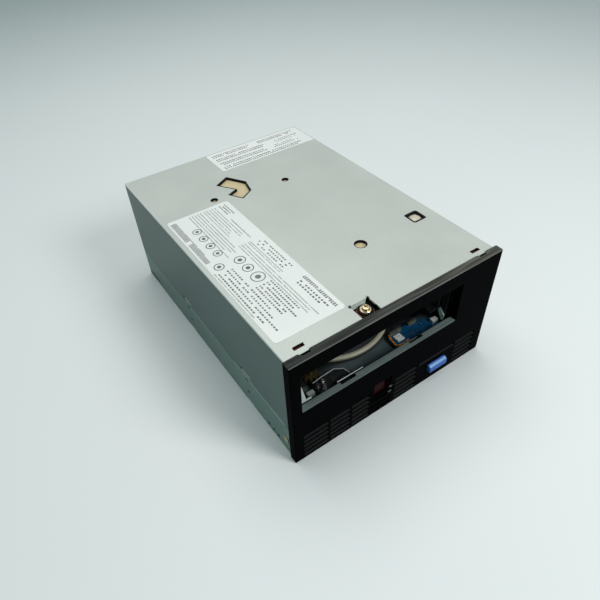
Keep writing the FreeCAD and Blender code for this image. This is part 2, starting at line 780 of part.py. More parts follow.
def makeDeckMounts():
    """Posts on the tray, rubber grommets in the deck and the screws through them."""
    posts, grommets, screws = [], [], []
    foot = s.case_sheet
    grip = DECK_UNDER - 3.0
    for x in (-1, 1):
        for y in MOUNTS_Y:
            spot = (x * POST_X, behind(y))
            posts.append(turned("post", [(1.6, foot), (s.mount_post_radius, foot),
                                         (s.mount_post_radius, grip), (1.6, grip)], *spot).body)
            grommets.append(turned("grommet", [
                (3.0, grip), (7.2, grip), (7.2, DECK_UNDER), (6.0, DECK_UNDER),
                (6.0, s.deck_top), (7.2, s.deck_top), (7.2, s.deck_top + 1.6),
                (3.0, s.deck_top + 1.6)], *spot).body)
            top = s.deck_top + 1.6
            screws.append(turned("screw", [
                (0, grip - 6), (1.5, grip - 6), (1.5, grip), (2.9, grip), (2.9, top),
                (5.5, top), (5.5, top + 1.6), (0, top + 1.6)], *spot).body)
    keep(group(posts), "mount_posts")
    keep(group(grommets), "deck_grommets")
    keep(group(screws), "shoulder_screws")


# ---- reel motors and reels -------------------------------------------------------

HOUSING_FOOT = 20.0
STATOR_FOOT = 31.9


def motorBase(x, y):
    top = s.deck_top
    base = turned("motor_base", [
        (6.05, HOUSING_FOOT), (9.5, HOUSING_FOOT), (9.5, top), (28.5, top), (28.5, top + 1.4),
        (9.5, top + 1.4), (9.5, top + 4.0), (6.05, top + 4.0)], x, behind(y))
    return base.body


def motorStator(x, y):
    """Laminated core with nine wound poles round the bearing housing."""
    stator = Piece("motor_stator", x, behind(y), 0)
    ring = stator.sketch("XY_Plane", STATOR_FOOT)
    circle(ring, 0, 0, 13.0)
    circle(ring, 0, 0, 9.55)
    stator.pad(ring, 3.2)
    pole = stator.sketch("XY_Plane", STATOR_FOOT)
    outline(pole, [(12.6, -1.8), (19.6, -1.8), (19.6, -4.4), (21.6, -4.2), (21.6, 4.2),
                   (19.6, 4.4), (19.6, 1.8), (12.6, 1.8)])
    stator.ring(stator.pad(pole, 3.2), 9)
    return stator.body


def makeMotors():
    spots = ((LOADER_MIDDLE, s.supply_y), (s.takeup_x, s.takeup_y))
    keep(group([motorBase(*spot) for spot in spots]), "motor_bases")
    keep(group([motorStator(*spot) for spot in spots]), "motor_stators")
    keep(group([bearing(*spot, foot) for spot in spots
                for foot in (HOUSING_FOOT + 0.5, s.deck_top)]), "reel_bearings")


def rotorSection(disc_radius, disc_top):
    """Half section of spindle, disc and magnet skirt."""
    spindle, skirt, disc = s.spindle_radius, s.rotor_radius, s.deck_top + 6.0
    return [(0, HOUSING_FOOT + 0.5), (spindle, HOUSING_FOOT + 0.5), (spindle, disc),
            (skirt - 3.0, disc), (skirt - 3.0, STATOR_FOOT), (skirt, STATOR_FOOT),
            (skirt, disc), (disc_radius, disc), (disc_radius, disc_top), (0, disc_top)]


def makeSupplySide():
    """Turntable under the cartridge, its rim and the toothed reel clutch."""
    x, y = LOADER_MIDDLE, s.supply_y
    disc_foot, disc_top = s.deck_top + 6.0, s.deck_top + 10.0
    rim_inner = s.turntable_radius - 2.2
    keep(turned("supply_turntable", rotorSection(rim_inner, disc_top), x, behind(y)).body,
         "supply_turntable")
    inner = rim_inner + s.running_clearance
    keep(turned("turntable_rim", [
        (inner, disc_foot), (s.turntable_radius, disc_foot),
        (s.turntable_radius, disc_top - 0.4), (s.turntable_radius - 0.8, disc_top + 0.4),
        (inner, disc_top + 0.4)], x, behind(y)).body, "turntable_rim")
    clutch = Piece("supply_clutch", x, behind(y), disc_top)
    section = clutch.sketch("XZ_Plane")
    outline(section, [(0, 0), (19.0, 0), (19.0, 1.4), (13.0, 1.4), (13.0, 0.8), (5.0, 0.8),
                      (5.0, 3.0), (4.0, 4.0), (0, 4.0)])
    clutch.revolve(section)
    tooth = clutch.sketch("XZ_Plane")
    outline(tooth, [(14.0, 1.2), (18.6, 1.2), (18.2, 3.4), (14.4, 3.4)])
    teeth = clutch.feature("Pad", tooth, False)
    teeth.Midplane = True
    teeth.Length = 1.3
    clutch.ring(teeth, 24)
    keep(clutch.body, "supply_clutch")


def makeTakeupSide():
    """Machine reel on its own motor: rotor, spool with lower flange, upper flange."""
    x, y = s.takeup_x, s.takeup_y
    foot = s.reel_foot
    keep(turned("takeup_rotor", rotorSection(s.rotor_radius + 0.5, s.deck_top + 8.0),
                x, behind(y)).body, "takeup_rotor")
    spool = Piece("takeup_reel", x, behind(y), 0)
    section = spool.sketch("XZ_Plane")
    hub, reach = s.reel_hub_radius, s.reel_radius
    tape_foot, tape_top = foot + 1.2, foot + 1.2 + s.tape_gap
    outline(section, [(0, s.deck_top + 8.0), (12.0, s.deck_top + 8.0), (12.0, foot),
                      (reach, foot), (reach, tape_foot), (hub, tape_foot), (hub, tape_top),
                      (hub - 2.5, tape_top), (hub - 2.5, tape_foot + 2.0), (8.0, tape_foot + 2.0),
                      (8.0, tape_top), (0, tape_top)])
    spool.revolve(section)
    window = spool.sketch("XY_Plane", tape_foot)
    circle(window, (hub + reach) / 2, 0, 5.0)
    spool.ring(spool.pocket(window, 3), 6)
    keep(spool.body, "takeup_reel")
    flange = Piece("takeup_flange", x, behind(y), 0)
    plate = flange.sketch("XY_Plane", tape_top)
    circle(plate, 0, 0, reach)
    circle(plate, 0, 0, hub - 2.5)
    flange.pad(plate, 1.2)
    lobes = flange.sketch("XY_Plane", tape_top + 1.2)
    circle(lobes, (hub + reach) / 2, 0, 7.0)
    flange.ring(flange.pocket(lobes, 3), 6)
    keep(flange.body, "takeup_flange")


def bearing(x, y, foot):
    inner = s.spindle_radius + s.running_clearance
    return turned("bearing", [(inner, foot), (6.0, foot), (6.0, foot + 3.5), (inner, foot + 3.5)],
                  x, behind(y)).body


# ---- tape guides and head ---------------------------------------------------------

GUIDES = ((45.0, 108.0), (53.0, 117.0), (53.0, 149.0), (43.0, 159.0))


def makeGuides():
    pins = []
    radius, foot = s.roller_radius, s.roller_foot
    top = foot + s.roller_height
    pin = s.roller_pin_radius
    for number, (x, y) in enumerate(GUIDES, start=1):
        name = f"guide_roller_{number}"
        bore = pin + s.running_clearance
        roller = turned(name, [
            (bore, foot), (radius, foot), (radius, foot + 1.0), (radius - 0.9, foot + 1.3),
            (radius - 0.9, top - 1.3), (radius, top - 1.0), (radius, top), (bore, top)],
            x, behind(y))
        keep(roller.body, name)
        pins.append(turned("guide_pin", [
            (0, s.deck_top), (3.8, s.deck_top), (3.8, foot - 0.3), (pin, foot - 0.3),
            (pin, top + 0.3), (3.0, top + 0.3), (3.0, top + 1.5), (0, top + 1.5)],
            x, behind(y)).body)
    keep(group(pins), "guide_pins")


HEAD_RODS = ((40.0, 127.0), (40.0, 139.0))
HEAD_SCREW = (46.0, 133.0)


def onScrew(z, radius):
    """A cylinder about the head's lifting screw."""
    return rod(HEAD_SCREW[0], behind(HEAD_SCREW[1]), z, radius)


def makeHead():
    """Head base, rods, bridge, lifting screw with its stepper, carriage and head."""
    deck = s.deck_top
    base_top = deck + 3.0
    bridge_foot = s.head_foot + s.head_height + s.head_travel + 1.4
    rod_radius, screw_radius = s.head_rod_radius, s.head_screw_radius
    slack = s.running_clearance
    base = cut(box((35.6, 58.0), (behind(123.6), behind(142.4)), (deck, base_top)),
               [onScrew((deck - 1, base_top + 1), screw_radius + slack)])
    keep(base, "head_base")
    rods = [rod(x, behind(y), (base_top, bridge_foot), rod_radius) for x, y in HEAD_RODS]
    keep(group(rods), "head_rods")
    bridge = cut(box((36.0, 50.0), (behind(124.0), behind(142.0)), (bridge_foot, bridge_foot + 1.5)),
                 [onScrew((bridge_foot - 1, bridge_foot + 3), screw_radius + slack)])
    keep(bridge, "head_bridge")
    low, high = s.head_foot - 1.0, s.head_foot + s.head_height + 1.0
    block = box((36.5, 55.5), (behind(124.5), behind(141.5)), (low, high))
    bores = [rod(x, behind(y), (low - 1, high + 1), rod_radius + slack) for x, y in HEAD_RODS]
    bores.append(onScrew((low - 1, high + 1), screw_radius + slack))
    waist = box((49.5, 56.0), (behind(129.0), behind(137.0)), (low + 4, high + 1))
    keep(cut(block, bores + [waist]), "head_carriage")
    bars = [box((55.5, 58.4), (behind(y), behind(y + 4.0)), (s.head_foot, s.head_foot + s.head_height))
            for y in (125.0, 137.0)]
    keep(group(bars), "tape_head")
    screw = fused([onScrew((DECK_UNDER - 1.0, bridge_foot + 1.2), screw_radius),
                   onScrew((base_top + 0.2, base_top + 1.4), 3.0)])
    keep(screw, "head_screw")
    stepper = cut(onScrew((DECK_UNDER - 12.0, DECK_UNDER), 8.8),
                  [onScrew((DECK_UNDER - 2.0, DECK_UNDER + 1), 2.2)])
    keep(stepper, "head_stepper")


def makeThreader():
    """Arm that carries the tape's leader pin round the head to the machine reel."""
    foot = s.arm_foot
    arm = Piece("threader_arm", s.arm_x, behind(s.arm_y), 0)
    start = -77.0
    arm.body.Placement.Rotation = FreeCAD.Rotation(FreeCAD.Vector(0, 0, 1), start)
    plate = arm.sketch("XY_Plane", foot)
    outline(plate, [(-6.5, -4.5), (4.0, -6.0), (s.arm_reach, -3.0), (s.arm_reach + 3.0, -1.2),
                    (s.arm_reach + 3.0, 1.2), (s.arm_reach, 3.0), (4.0, 6.0), (-6.5, 4.5)])
    arm.pad(plate, 2.0)
    shaft = arm.sketch("XY_Plane", foot)
    circle(shaft, 0, 0, 2.0)
    arm.pad(shaft, foot - DECK_UNDER - 0.5, reverse=True)
    pin = arm.sketch("XY_Plane", foot)
    circle(pin, s.arm_reach, 0, 1.8)
    arm.pad(pin, 2.0, reverse=True)
    keep(arm.body, "threader_arm")
    motor = cut(rod(s.arm_x, behind(s.arm_y), (DECK_UNDER - 12.0, DECK_UNDER), 6.4),
                [rod(s.arm_x, behind(s.arm_y), (DECK_UNDER - 1.0, DECK_UNDER + 1), 2.4)])
    keep(motor, "threader_motor")


# ---- cartridge loader ---------------------------------------------------------------

PIN_ROWS = (24.0, 68.0)
PIN_HEIGHT = 60.0


def slotOutline(drawing, start, end, radius):
    """A straight slot with eight-sided ends between two points."""
    (x0, y0), (x1, y1) = start, end
    run = math.atan2(y1.value - y0.value, x1.value - x0.value)
    corners = []
    for centre, first in (((x1, y1), -90), ((x0, y0), 90)):
        for step in range(4):
            turn = run + math.radians(first + 22.5 + 45 * step)
            reach = 1 / math.cos(math.radians(22.5))
            corners.append((centre[0] + radius * (reach * math.cos(turn)),
                            centre[1] + radius * (reach * math.sin(turn))))
    outline(drawing, corners)


def makeLoaderFrame():
    """Folded channel under and beside the cartridge, on the deck's bosses."""
    under = s.loader_floor - s.loader_sheet
    top = LOADER_TOP
    left, right = LOADER_LEFT - s.loader_sheet, LOADER_RIGHT + s.loader_sheet
    frame = Piece("loader_frame", 0, FRONT, 0)
    fold = frame.sketch("XZ_Plane", 1.4)
    outline(fold, [(left, under), (right, under), (right, top), (LOADER_RIGHT, top),
                   (LOADER_RIGHT, s.loader_floor), (LOADER_LEFT, s.loader_floor),
                   (LOADER_LEFT, top), (left, top)])
    frame.pad(fold, 90.0, reverse=True)
    floor = frame.sketch("XY_Plane", s.loader_floor)
    circle(floor, LOADER_MIDDLE, s.supply_y, s.turntable_radius - 3.2)
    circle(floor, *MOTOR_SPOT, 5.0)
    frame.pocket(floor, 2)
    guides = frame.sketch("YZ_Plane", -10)
    slack = s.pin_radius + s.pin_clearance
    for y in PIN_ROWS:
        slotOutline(guides, (asSize(y), PIN_HEIGHT - s.carrier_drop),
                    (asSize(y), asSize(PIN_HEIGHT)), slack)
    frame.pocket(guides, both=True)
    gate = frame.sketch("YZ_Plane", LOADER_LEFT + 1)
    rectangle(gate, (6.0, 48.0), (s.loader_floor + 0.3, 40.4))
    frame.pocket(gate, 3.0)
    keep(frame.body, "loader_frame")


def makeCamYoke():
    """Two cam plates joined over the top, with a rack for the loader gear."""
    left = LOADER_LEFT - s.loader_sheet - s.slide_gap
    right = LOADER_RIGHT + s.loader_sheet + s.slide_gap
    foot, top = s.loader_floor + 0.9, YOKE_TOP
    thick = s.loader_sheet
    yoke = Piece("cam_yoke", 0, FRONT, 0)
    plates = yoke.sketch("XZ_Plane", 4.0)
    outline(plates, [(left - thick, foot), (left, foot), (left, top - thick), (right, top - thick),
                     (right, foot), (right + thick, foot), (right + thick, top),
                     (left - thick, top)])
    yoke.pad(plates, s.cam_length, reverse=True)
    clear = yoke.sketch("XY_Plane", top)
    for near, far in ((3.0, 50.0), (72.0, 90.0)):
        rectangle(clear, (left, right), (near, far))
    yoke.pocket(clear, 4)
    rack_line = LOADER_LEFT + 1.5
    rack = yoke.sketch("XY_Plane", foot)
    outline(rack, rackProfile(rack_line, left))
    yoke.pad(rack, 3.0)
    cams = yoke.sketch("YZ_Plane", -10)
    for y in PIN_ROWS:
        slotOutline(cams, (y - s.cam_travel, PIN_HEIGHT - s.carrier_drop),
                    (asSize(y), asSize(PIN_HEIGHT)), s.pin_radius + s.pin_clearance)
    yoke.pocket(cams, both=True)
    keep(yoke.body, "cam_yoke")


def gearSpot():
    """Centre of the loader gear: it meshes with the rack and the motor's pinion."""
    radius = s.gear_module * s.gear_teeth / 2
    reach = s.gear_module * (s.gear_teeth + s.pinion_teeth) / 2
    x = LOADER_LEFT + 1.5 + radius
    across = x - MOTOR_SPOT[0]
    rise = Size(f"sqrt({(reach * reach - across * across).formula})",
                math.sqrt((reach * reach - across * across).value))
    return x, MOTOR_SPOT[1] + rise


def toothFlanks():
    """Half widths of a tooth at its tip and root, and its two heights."""
    pitch_half = s.gear_module * math.pi / 4 - s.gear_backlash / 2
    lean = math.tan(math.radians(20))
    tip, root = s.gear_module * 0.75, s.gear_module * 1.15
    return pitch_half - tip * lean, pitch_half + root * lean, tip, root


def rackProfile(line, back):
    tip_half, root_half, tip, root = toothFlanks()
    pitch = s.gear_module * math.pi
    middle = gearSpot()[1]
    teeth = 6
    first = middle - pitch * 4
    points = [(back, first - pitch), (line - root, first - pitch)]
    for number in range(teeth):
        y = first + pitch * number
        points += [(line - root, y - root_half), (line + tip, y - tip_half),
                   (line + tip, y + tip_half), (line - root, y + root_half)]
    last = first + pitch * teeth
    points += [(line - root, last), (back, last)]
    return points


def makeGear(name, spot, teeth, turn, low, high, bore):
    """A spur gear: a toothed disc with one tooth drawn and repeated."""
    tip_half, root_half, tip, root = toothFlanks()
    radius = s.gear_module * teeth / 2
    gear = Piece(name, spot[0], behind(spot[1]), low)
    gear.body.Placement.Rotation = FreeCAD.Rotation(FreeCAD.Vector(0, 0, 1), turn)
    blank = gear.sketch("XY_Plane")
    circle(blank, 0, 0, radius - root)
    if bore:
        circle(blank, 0, 0, bore)
    gear.pad(blank, asSize(high) - low)
    tooth = gear.sketch("XY_Plane")
    outline(tooth, [(radius - root - 0.3, -root_half), (radius + tip, -tip_half),
                    (radius + tip, tip_half), (radius - root - 0.3, root_half)])
    gear.ring(gear.pad(tooth, asSize(high) - low), teeth)
    keep(gear.body, name)
    return gear


def makeLoaderDrive():
    """Motor under the loader floor, its brass pinion, the gear and the gear's pin."""
    x, y = gearSpot()
    gear_step = 360 / s.gear_teeth.value
    pinion_step = 360 / s.pinion_teeth.value
    toward = math.degrees(math.atan2(MOTOR_SPOT[1] - y.value, (MOTOR_SPOT[0] - x).value))
    gear_turn = 180 + gear_step / 2
    phase = ((toward - 180) / gear_step) % 1
    pinion_turn = toward + 180 + phase * pinion_step
    low = s.loader_floor + 0.7
    slack = s.running_clearance
    makeGear("loader_gear", (x, y), s.gear_teeth, gear_turn, low, low + 3.2, 1.5 + slack)
    pinion = makeGear("loader_pinion", MOTOR_SPOT, s.pinion_teeth, pinion_turn, low, low + 4.0, 0)
    shaft = pinion.sketch("XY_Plane", 4.6)
    circle(shaft, 0, 0, 1.0)
    pinion.pad(shaft, 4.6 + 5.0, reverse=True)
    pin = turned("gear_pin", [(0, s.loader_floor), (2.4, s.loader_floor), (2.4, low - 0.2),
                              (1.5, low - 0.2), (1.5, low + 4.2), (0, low + 4.2)], x, behind(y))
    loader_fasteners.append(pin.body)
    under = s.loader_floor - s.loader_sheet
    can = rod(MOTOR_SPOT[0], behind(MOTOR_SPOT[1]), (under - 19.0, under), 8.0)
    bore = rod(MOTOR_SPOT[0], behind(MOTOR_SPOT[1]), (under - 5.0, under + 1), 1.0 + slack)
    keep(cut(can, [bore]), "loader_motor")


def makeCarrier():
    """Sheet cradle that takes the cartridge and is lowered onto the clutch."""
    gap = 1.2
    left, right = LOADER_LEFT + gap, LOADER_RIGHT - gap
    thick = s.loader_sheet
    floor = s.carrier_floor
    top = floor + s.cartridge_height + 3.0
    lip = 6.0
    carrier = Piece("cartridge_carrier", 0, FRONT, 0)
    fold = carrier.sketch("XZ_Plane", 6.0)
    outline(fold, [(left, floor - thick), (left + thick + lip, floor - thick),
                   (left + thick + lip, floor), (left + thick, floor), (left + thick, top - thick),
                   (right - thick, top - thick), (right - thick, floor),
                   (right - thick - lip, floor), (right - thick - lip, floor - thick),
                   (right, floor - thick), (right, top), (left, top)])
    carrier.pad(fold, s.carrier_length, reverse=True)
    window = carrier.sketch("XY_Plane", top)
    rectangle(window, (left + 18.3, right - 19.3), (20.0, 74.0))
    carrier.pocket(window, 4)
    reach = s.slide_gap + 2 * thick + 0.4
    for end, edge in ((-1, left), (1, right)):
        pins = carrier.sketch("YZ_Plane", edge)
        for y in PIN_ROWS:
            circle(pins, y, PIN_HEIGHT, s.pin_radius - 0.05)
        carrier.pad(pins, gap + reach, reverse=end < 0)
    keep(carrier.body, "cartridge_carrier")


def makeLoaderDetails():
    """Sensor cover, small board, connectors and the cartridge horn by the slot."""
    floor, left, right = s.loader_floor, LOADER_LEFT, LOADER_RIGHT
    cover = Piece("sensor_cover", left + 25.5, behind(1.6), floor)
    plan = cover.sketch("XY_Plane")
    outline(plan, [(-11.5, 0), (11.3, 0), (10.9, 2.6), (9.7, 6.4), (8.0, 8.4), (5.0, 9.6),
                   (0, 9.9), (-5.5, 9.4), (-10.2, 8.4), (-11.5, 6.4)])
    cover.pad(plan, 4.4)
    cover.chamfer(0.5, lambda e: at(e, "z", 4.4))
    keep(cover.body, "sensor_cover")
    knobs = [rod(left + x, behind(y), (floor + 4.4, floor + 4.4 + rise), radius)
             for x, y, rise, radius in ((19.0, 4.2, 1.2, 1.2), (19.8, 7.4, 1.4, 1.1),
                                        (16.9, 3.0, 0.8, 0.9), (16.0, 6.8, 1.0, 1.0))]
    keep(group(knobs + loader_fasteners), "loader_fasteners")
    top = floor + 2.6
    board = Piece("loader_board", right, behind(0), top - 1.4)
    shape = board.sketch("XY_Plane")
    outline(shape, [(-36.3, 4.0), (-26.0, 3.8), (-24.6, 2.6), (-5.0, 2.6), (-1.4, 4.2), (-1.4, 8.8),
                    (-7.8, 10.9), (-11.5, 13.8), (-34.2, 13.8), (-36.3, 11.0)])
    board.pad(shape, 1.4)
    keep(board.body, "loader_board")
    board_spacers.extend(rod(right + x, behind(8.0), (floor, top - 1.4), 1.8) for x in (-33.0, -6.0))
    parts = [box((right + x[0], right + x[1]), (behind(y[0]), behind(y[1])), (top, top + rise))
             for x, y, rise in (((-33.4, -28.4), (5.6, 10.4), 0.8), ((-6.2, -1.9), (4.6, 7.4), 2.0),
                                ((-34.0, -25.0), (12.3, 13.6), 1.6), ((-19.4, -12.6), (12.1, 13.4), 1.6))]
    parts.append(box((left + 8.3, left + 12.7), (behind(4.4), behind(7.0)), (floor, floor + 4.0)))
    horn = Piece("horn", right - 0.9, behind(0), 0)
    blade = horn.sketch("YZ_Plane")
    outline(blade, [(1.7, floor + 8.6), (5.9, floor + 12.2), (6.8, floor + 10.4), (6.4, floor + 8.8),
                    (5.2, floor + 6.8), (4.2, floor + 5.2), (3.4, floor + 3.6), (2.4, floor + 4.2)])
    horn.pad(blade, 0.9)
    keep(group(parts + [horn.body]), "loader_board_parts")


# ---- electronics ------------------------------------------------------------------

REAR_ROOM = 3.5


def makeMainBoard():
    """Logic board under the deck with its parts and the rear connectors."""
    foot, top = s.board_foot, s.board_foot + s.board_sheet
    half, rear = INNER_X - 20.525, s.body_depth
    keep(box((-half, half), (behind(16.0), behind(rear - REAR_ROOM)), (foot, top)), "main_board")
    board_spacers.extend(rod(x, behind(y), (s.case_sheet, foot), 2.6)
                         for x in (3.5 - half, half - 3.5) for y in (22.0, 108.0, rear - 29.5))
    keep(group(board_spacers), "board_spacers")
    chips = [box((x, x + size), (behind(y), behind(y + size)), (top, top + 2.2))
             for x, y, size in ((-36.0, 52.0, 30.0), (6.0, 60.0, 24.0), (-34.0, 100.0, 18.0),
                                (10.0, 104.0, 14.0), (-36.0, 136.0, 14.0), (8.0, 28.0, 16.0))]
    keep(group(chips), "board_chips")
    cans = [rod(x, behind(y), (top, top + 8.0), 4.0)
            for x, y in ((34.0, rear - 41.5), (34.0, rear - 31.5),
                         (7.5 - half, rear - 41.5), (7.5 - half, rear - 53.5))]
    keep(group(cans), "board_capacitors")
    data, power, service = PORTS
    shell = box(data, (behind(rear - 14.0), behind(rear)), (top, 18.2))
    mouth = box((data[0] + 3.5, data[1] - 3.5), (behind(rear - 8.0), behind(rear + 1)), (10.6, 16.0))
    keep(cut(shell, [mouth]), "data_connector")
    tongue = box((data[0] + 6.0, data[1] - 6.0), (behind(rear - 8.0), behind(rear - 1.0)), (12.6, 13.8))
    shell = box(power, (behind(rear - 14.0), behind(rear)), (top, 19.6))
    mouth = box((power[0] + 1.4, power[1] - 1.4), (behind(rear - 10.5), behind(rear + 1)), (10.0, 18.2))
    keep(cut(shell, [mouth]), "power_connector")
    pins = [rodAlongY(power[0] + 3.0 + 5.08 * i, (behind(rear - 10.5), behind(rear - 3.0)), 14.1, 1.05)
            for i in range(4)]
    keep(group([tongue] + pins), "connector_contacts")
    shell = box(service, (behind(rear - 10.0), behind(rear)), (top, 17.2))
    mouth = box((service[0] + 1.5, service[1] - 1.5), (behind(rear - 7.0), behind(rear + 1)), (10.2, 15.6))
    keep(cut(shell, [mouth]), "service_connector")


def makeInsulator():
    """Film sheet hung a little under the cover."""
    edge, slack = WALL_X - 7.0, 0.7
    plate = box((-edge, edge), (behind(14.0), behind(s.body_depth - REAR_ROOM)),
                (COVER_UNDER - slack - 0.8, COVER_UNDER - slack))
    keep(plate, "insulator_sheet")


def main():
    keep(makeBottomTray().body, "bottom_tray")
    keep(makeTopCover().body, "top_cover")
    keep(makeRearPanel().body, "rear_panel")
    keep(makeFrontFrame().body, "front_frame")
    keep(makeBezel().body, "bezel")
    keep(makeEjectButton().body, "eject_button")
    makePanelParts()
    makeCaseScrews()
    makeInsulator()
    keep(makeDeck().body, "deck")
    makeDeckMounts()
    makeMotors()
    makeSupplySide()
    makeTakeupSide()
    makeGuides()
    makeHead()
    makeThreader()
    makeLoaderFrame()
    makeCamYoke()
    makeCarrier()
    makeLoaderDrive()
    makeLoaderDetails()
    makeMainBoard()


def checkAndExport():
    doc.recompute()
    for thing in doc.Objects:
        if {"Invalid", "Error"} & set(thing.State):
            raise RuntimeError(f"{thing.Label} failed: {thing.State}")
    os.makedirs("parts", exist_ok=True)
    for name, node in nodes.items():
        shape = node.Shape
        if shape.isNull() or not shape.isValid() or not shape.Solids:
            raise RuntimeError(f"{name} has no valid shape")
        shape.exportStep(f"parts/{name}.step")
    print(len(nodes), "parts written")


main()
checkAndExport()
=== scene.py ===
import math

import bmesh
import bpy
from mathutils import Matrix, Vector


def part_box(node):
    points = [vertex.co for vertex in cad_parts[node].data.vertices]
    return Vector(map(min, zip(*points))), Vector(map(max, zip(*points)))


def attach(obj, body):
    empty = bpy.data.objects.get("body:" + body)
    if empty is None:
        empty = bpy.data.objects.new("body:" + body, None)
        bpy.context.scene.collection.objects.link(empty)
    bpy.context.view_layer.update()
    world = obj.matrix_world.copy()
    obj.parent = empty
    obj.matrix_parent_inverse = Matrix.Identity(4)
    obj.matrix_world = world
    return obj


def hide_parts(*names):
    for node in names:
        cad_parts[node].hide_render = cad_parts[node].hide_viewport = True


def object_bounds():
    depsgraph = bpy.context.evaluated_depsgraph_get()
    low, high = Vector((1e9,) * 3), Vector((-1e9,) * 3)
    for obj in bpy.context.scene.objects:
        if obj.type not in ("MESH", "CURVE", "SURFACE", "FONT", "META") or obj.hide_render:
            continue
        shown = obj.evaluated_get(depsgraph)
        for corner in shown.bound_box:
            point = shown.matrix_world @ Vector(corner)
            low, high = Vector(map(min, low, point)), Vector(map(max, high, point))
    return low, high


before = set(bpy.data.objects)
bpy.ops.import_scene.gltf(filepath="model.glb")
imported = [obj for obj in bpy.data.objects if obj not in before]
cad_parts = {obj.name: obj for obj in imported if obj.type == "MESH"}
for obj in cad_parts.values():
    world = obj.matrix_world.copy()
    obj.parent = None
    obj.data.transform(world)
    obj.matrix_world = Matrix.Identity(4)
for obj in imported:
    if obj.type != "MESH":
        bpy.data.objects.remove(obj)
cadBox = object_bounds()
print("frame loaded:", len(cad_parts), "nodes")

mm = 0.001
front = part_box("top_cover")[0].y  # the case's front edge, behind the bezel
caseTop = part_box("top_cover")[1].z


def behind(distance):
    return front + distance * mm


def shade(red, green, blue):
    # a screen colour from 0 to 255 as the linear colour that sockets take
    parts = [c / 255 for c in (red, green, blue)]
    linear = [c / 12.92 if c <= 0.04045 else ((c + 0.055) / 1.055) ** 2.4 for c in parts]
    return (*linear, 1.0)


# node trees: one class does sums on a node's output, another writes the nodes

class Value:
    def __init__(self, net, socket):
        self.net = net
        self.socket = socket

    def sum(self, operation, first, second=None):
        return self.net.node("ShaderNodeMath", {"operation": operation}, {0: first, 1: second})

    def __add__(self, other):
        return self.sum("ADD", self, other)

    def __sub__(self, other):
        return self.sum("SUBTRACT", self, other)

    def __rsub__(self, other):
        return self.sum("SUBTRACT", other, self)

    def __mul__(self, other):
        return self.sum("MULTIPLY", self, other)

    def __truediv__(self, other):
        return self.sum("DIVIDE", self, other)

    def __gt__(self, other):
        return self.sum("GREATER_THAN", self, other)

    def __lt__(self, other):
        return self.sum("LESS_THAN", self, other)

    def absolute(self):
        return self.sum("ABSOLUTE", self)

    def rounded(self):
        return self.sum("ROUND", self)

    def clamped(self):
        return self.net.node("ShaderNodeClamp", {}, {0: self, 1: 0.0, 2: 1.0})

    def spread(self, low, high):
        # stretches low to high over 0 to 1, smoothly
        settings = {"interpolation_type": "SMOOTHSTEP"}
        return self.net.node("ShaderNodeMapRange", settings, {0: self, 1: low, 2: high, 3: 0.0, 4: 1.0})


class Net:
    def __init__(self, tree):
        self.tree = tree

    def node(self, kind, settings, sockets, out=0):
        made = self.tree.nodes.new(kind)
        for name, setting in settings.items():
            setattr(made, name, setting)
        for key, given in sockets.items():
            if isinstance(given, Value):
                self.tree.links.new(given.socket, made.inputs[key])
            elif given is not None:
                made.inputs[key].default_value = given
        return Value(self, made.outputs[out]) if made.outputs else None

    def part(self, vector, letter):
        return self.node("ShaderNodeSeparateXYZ", {}, {0: vector}, "XYZ".index(letter))


finishes = {}


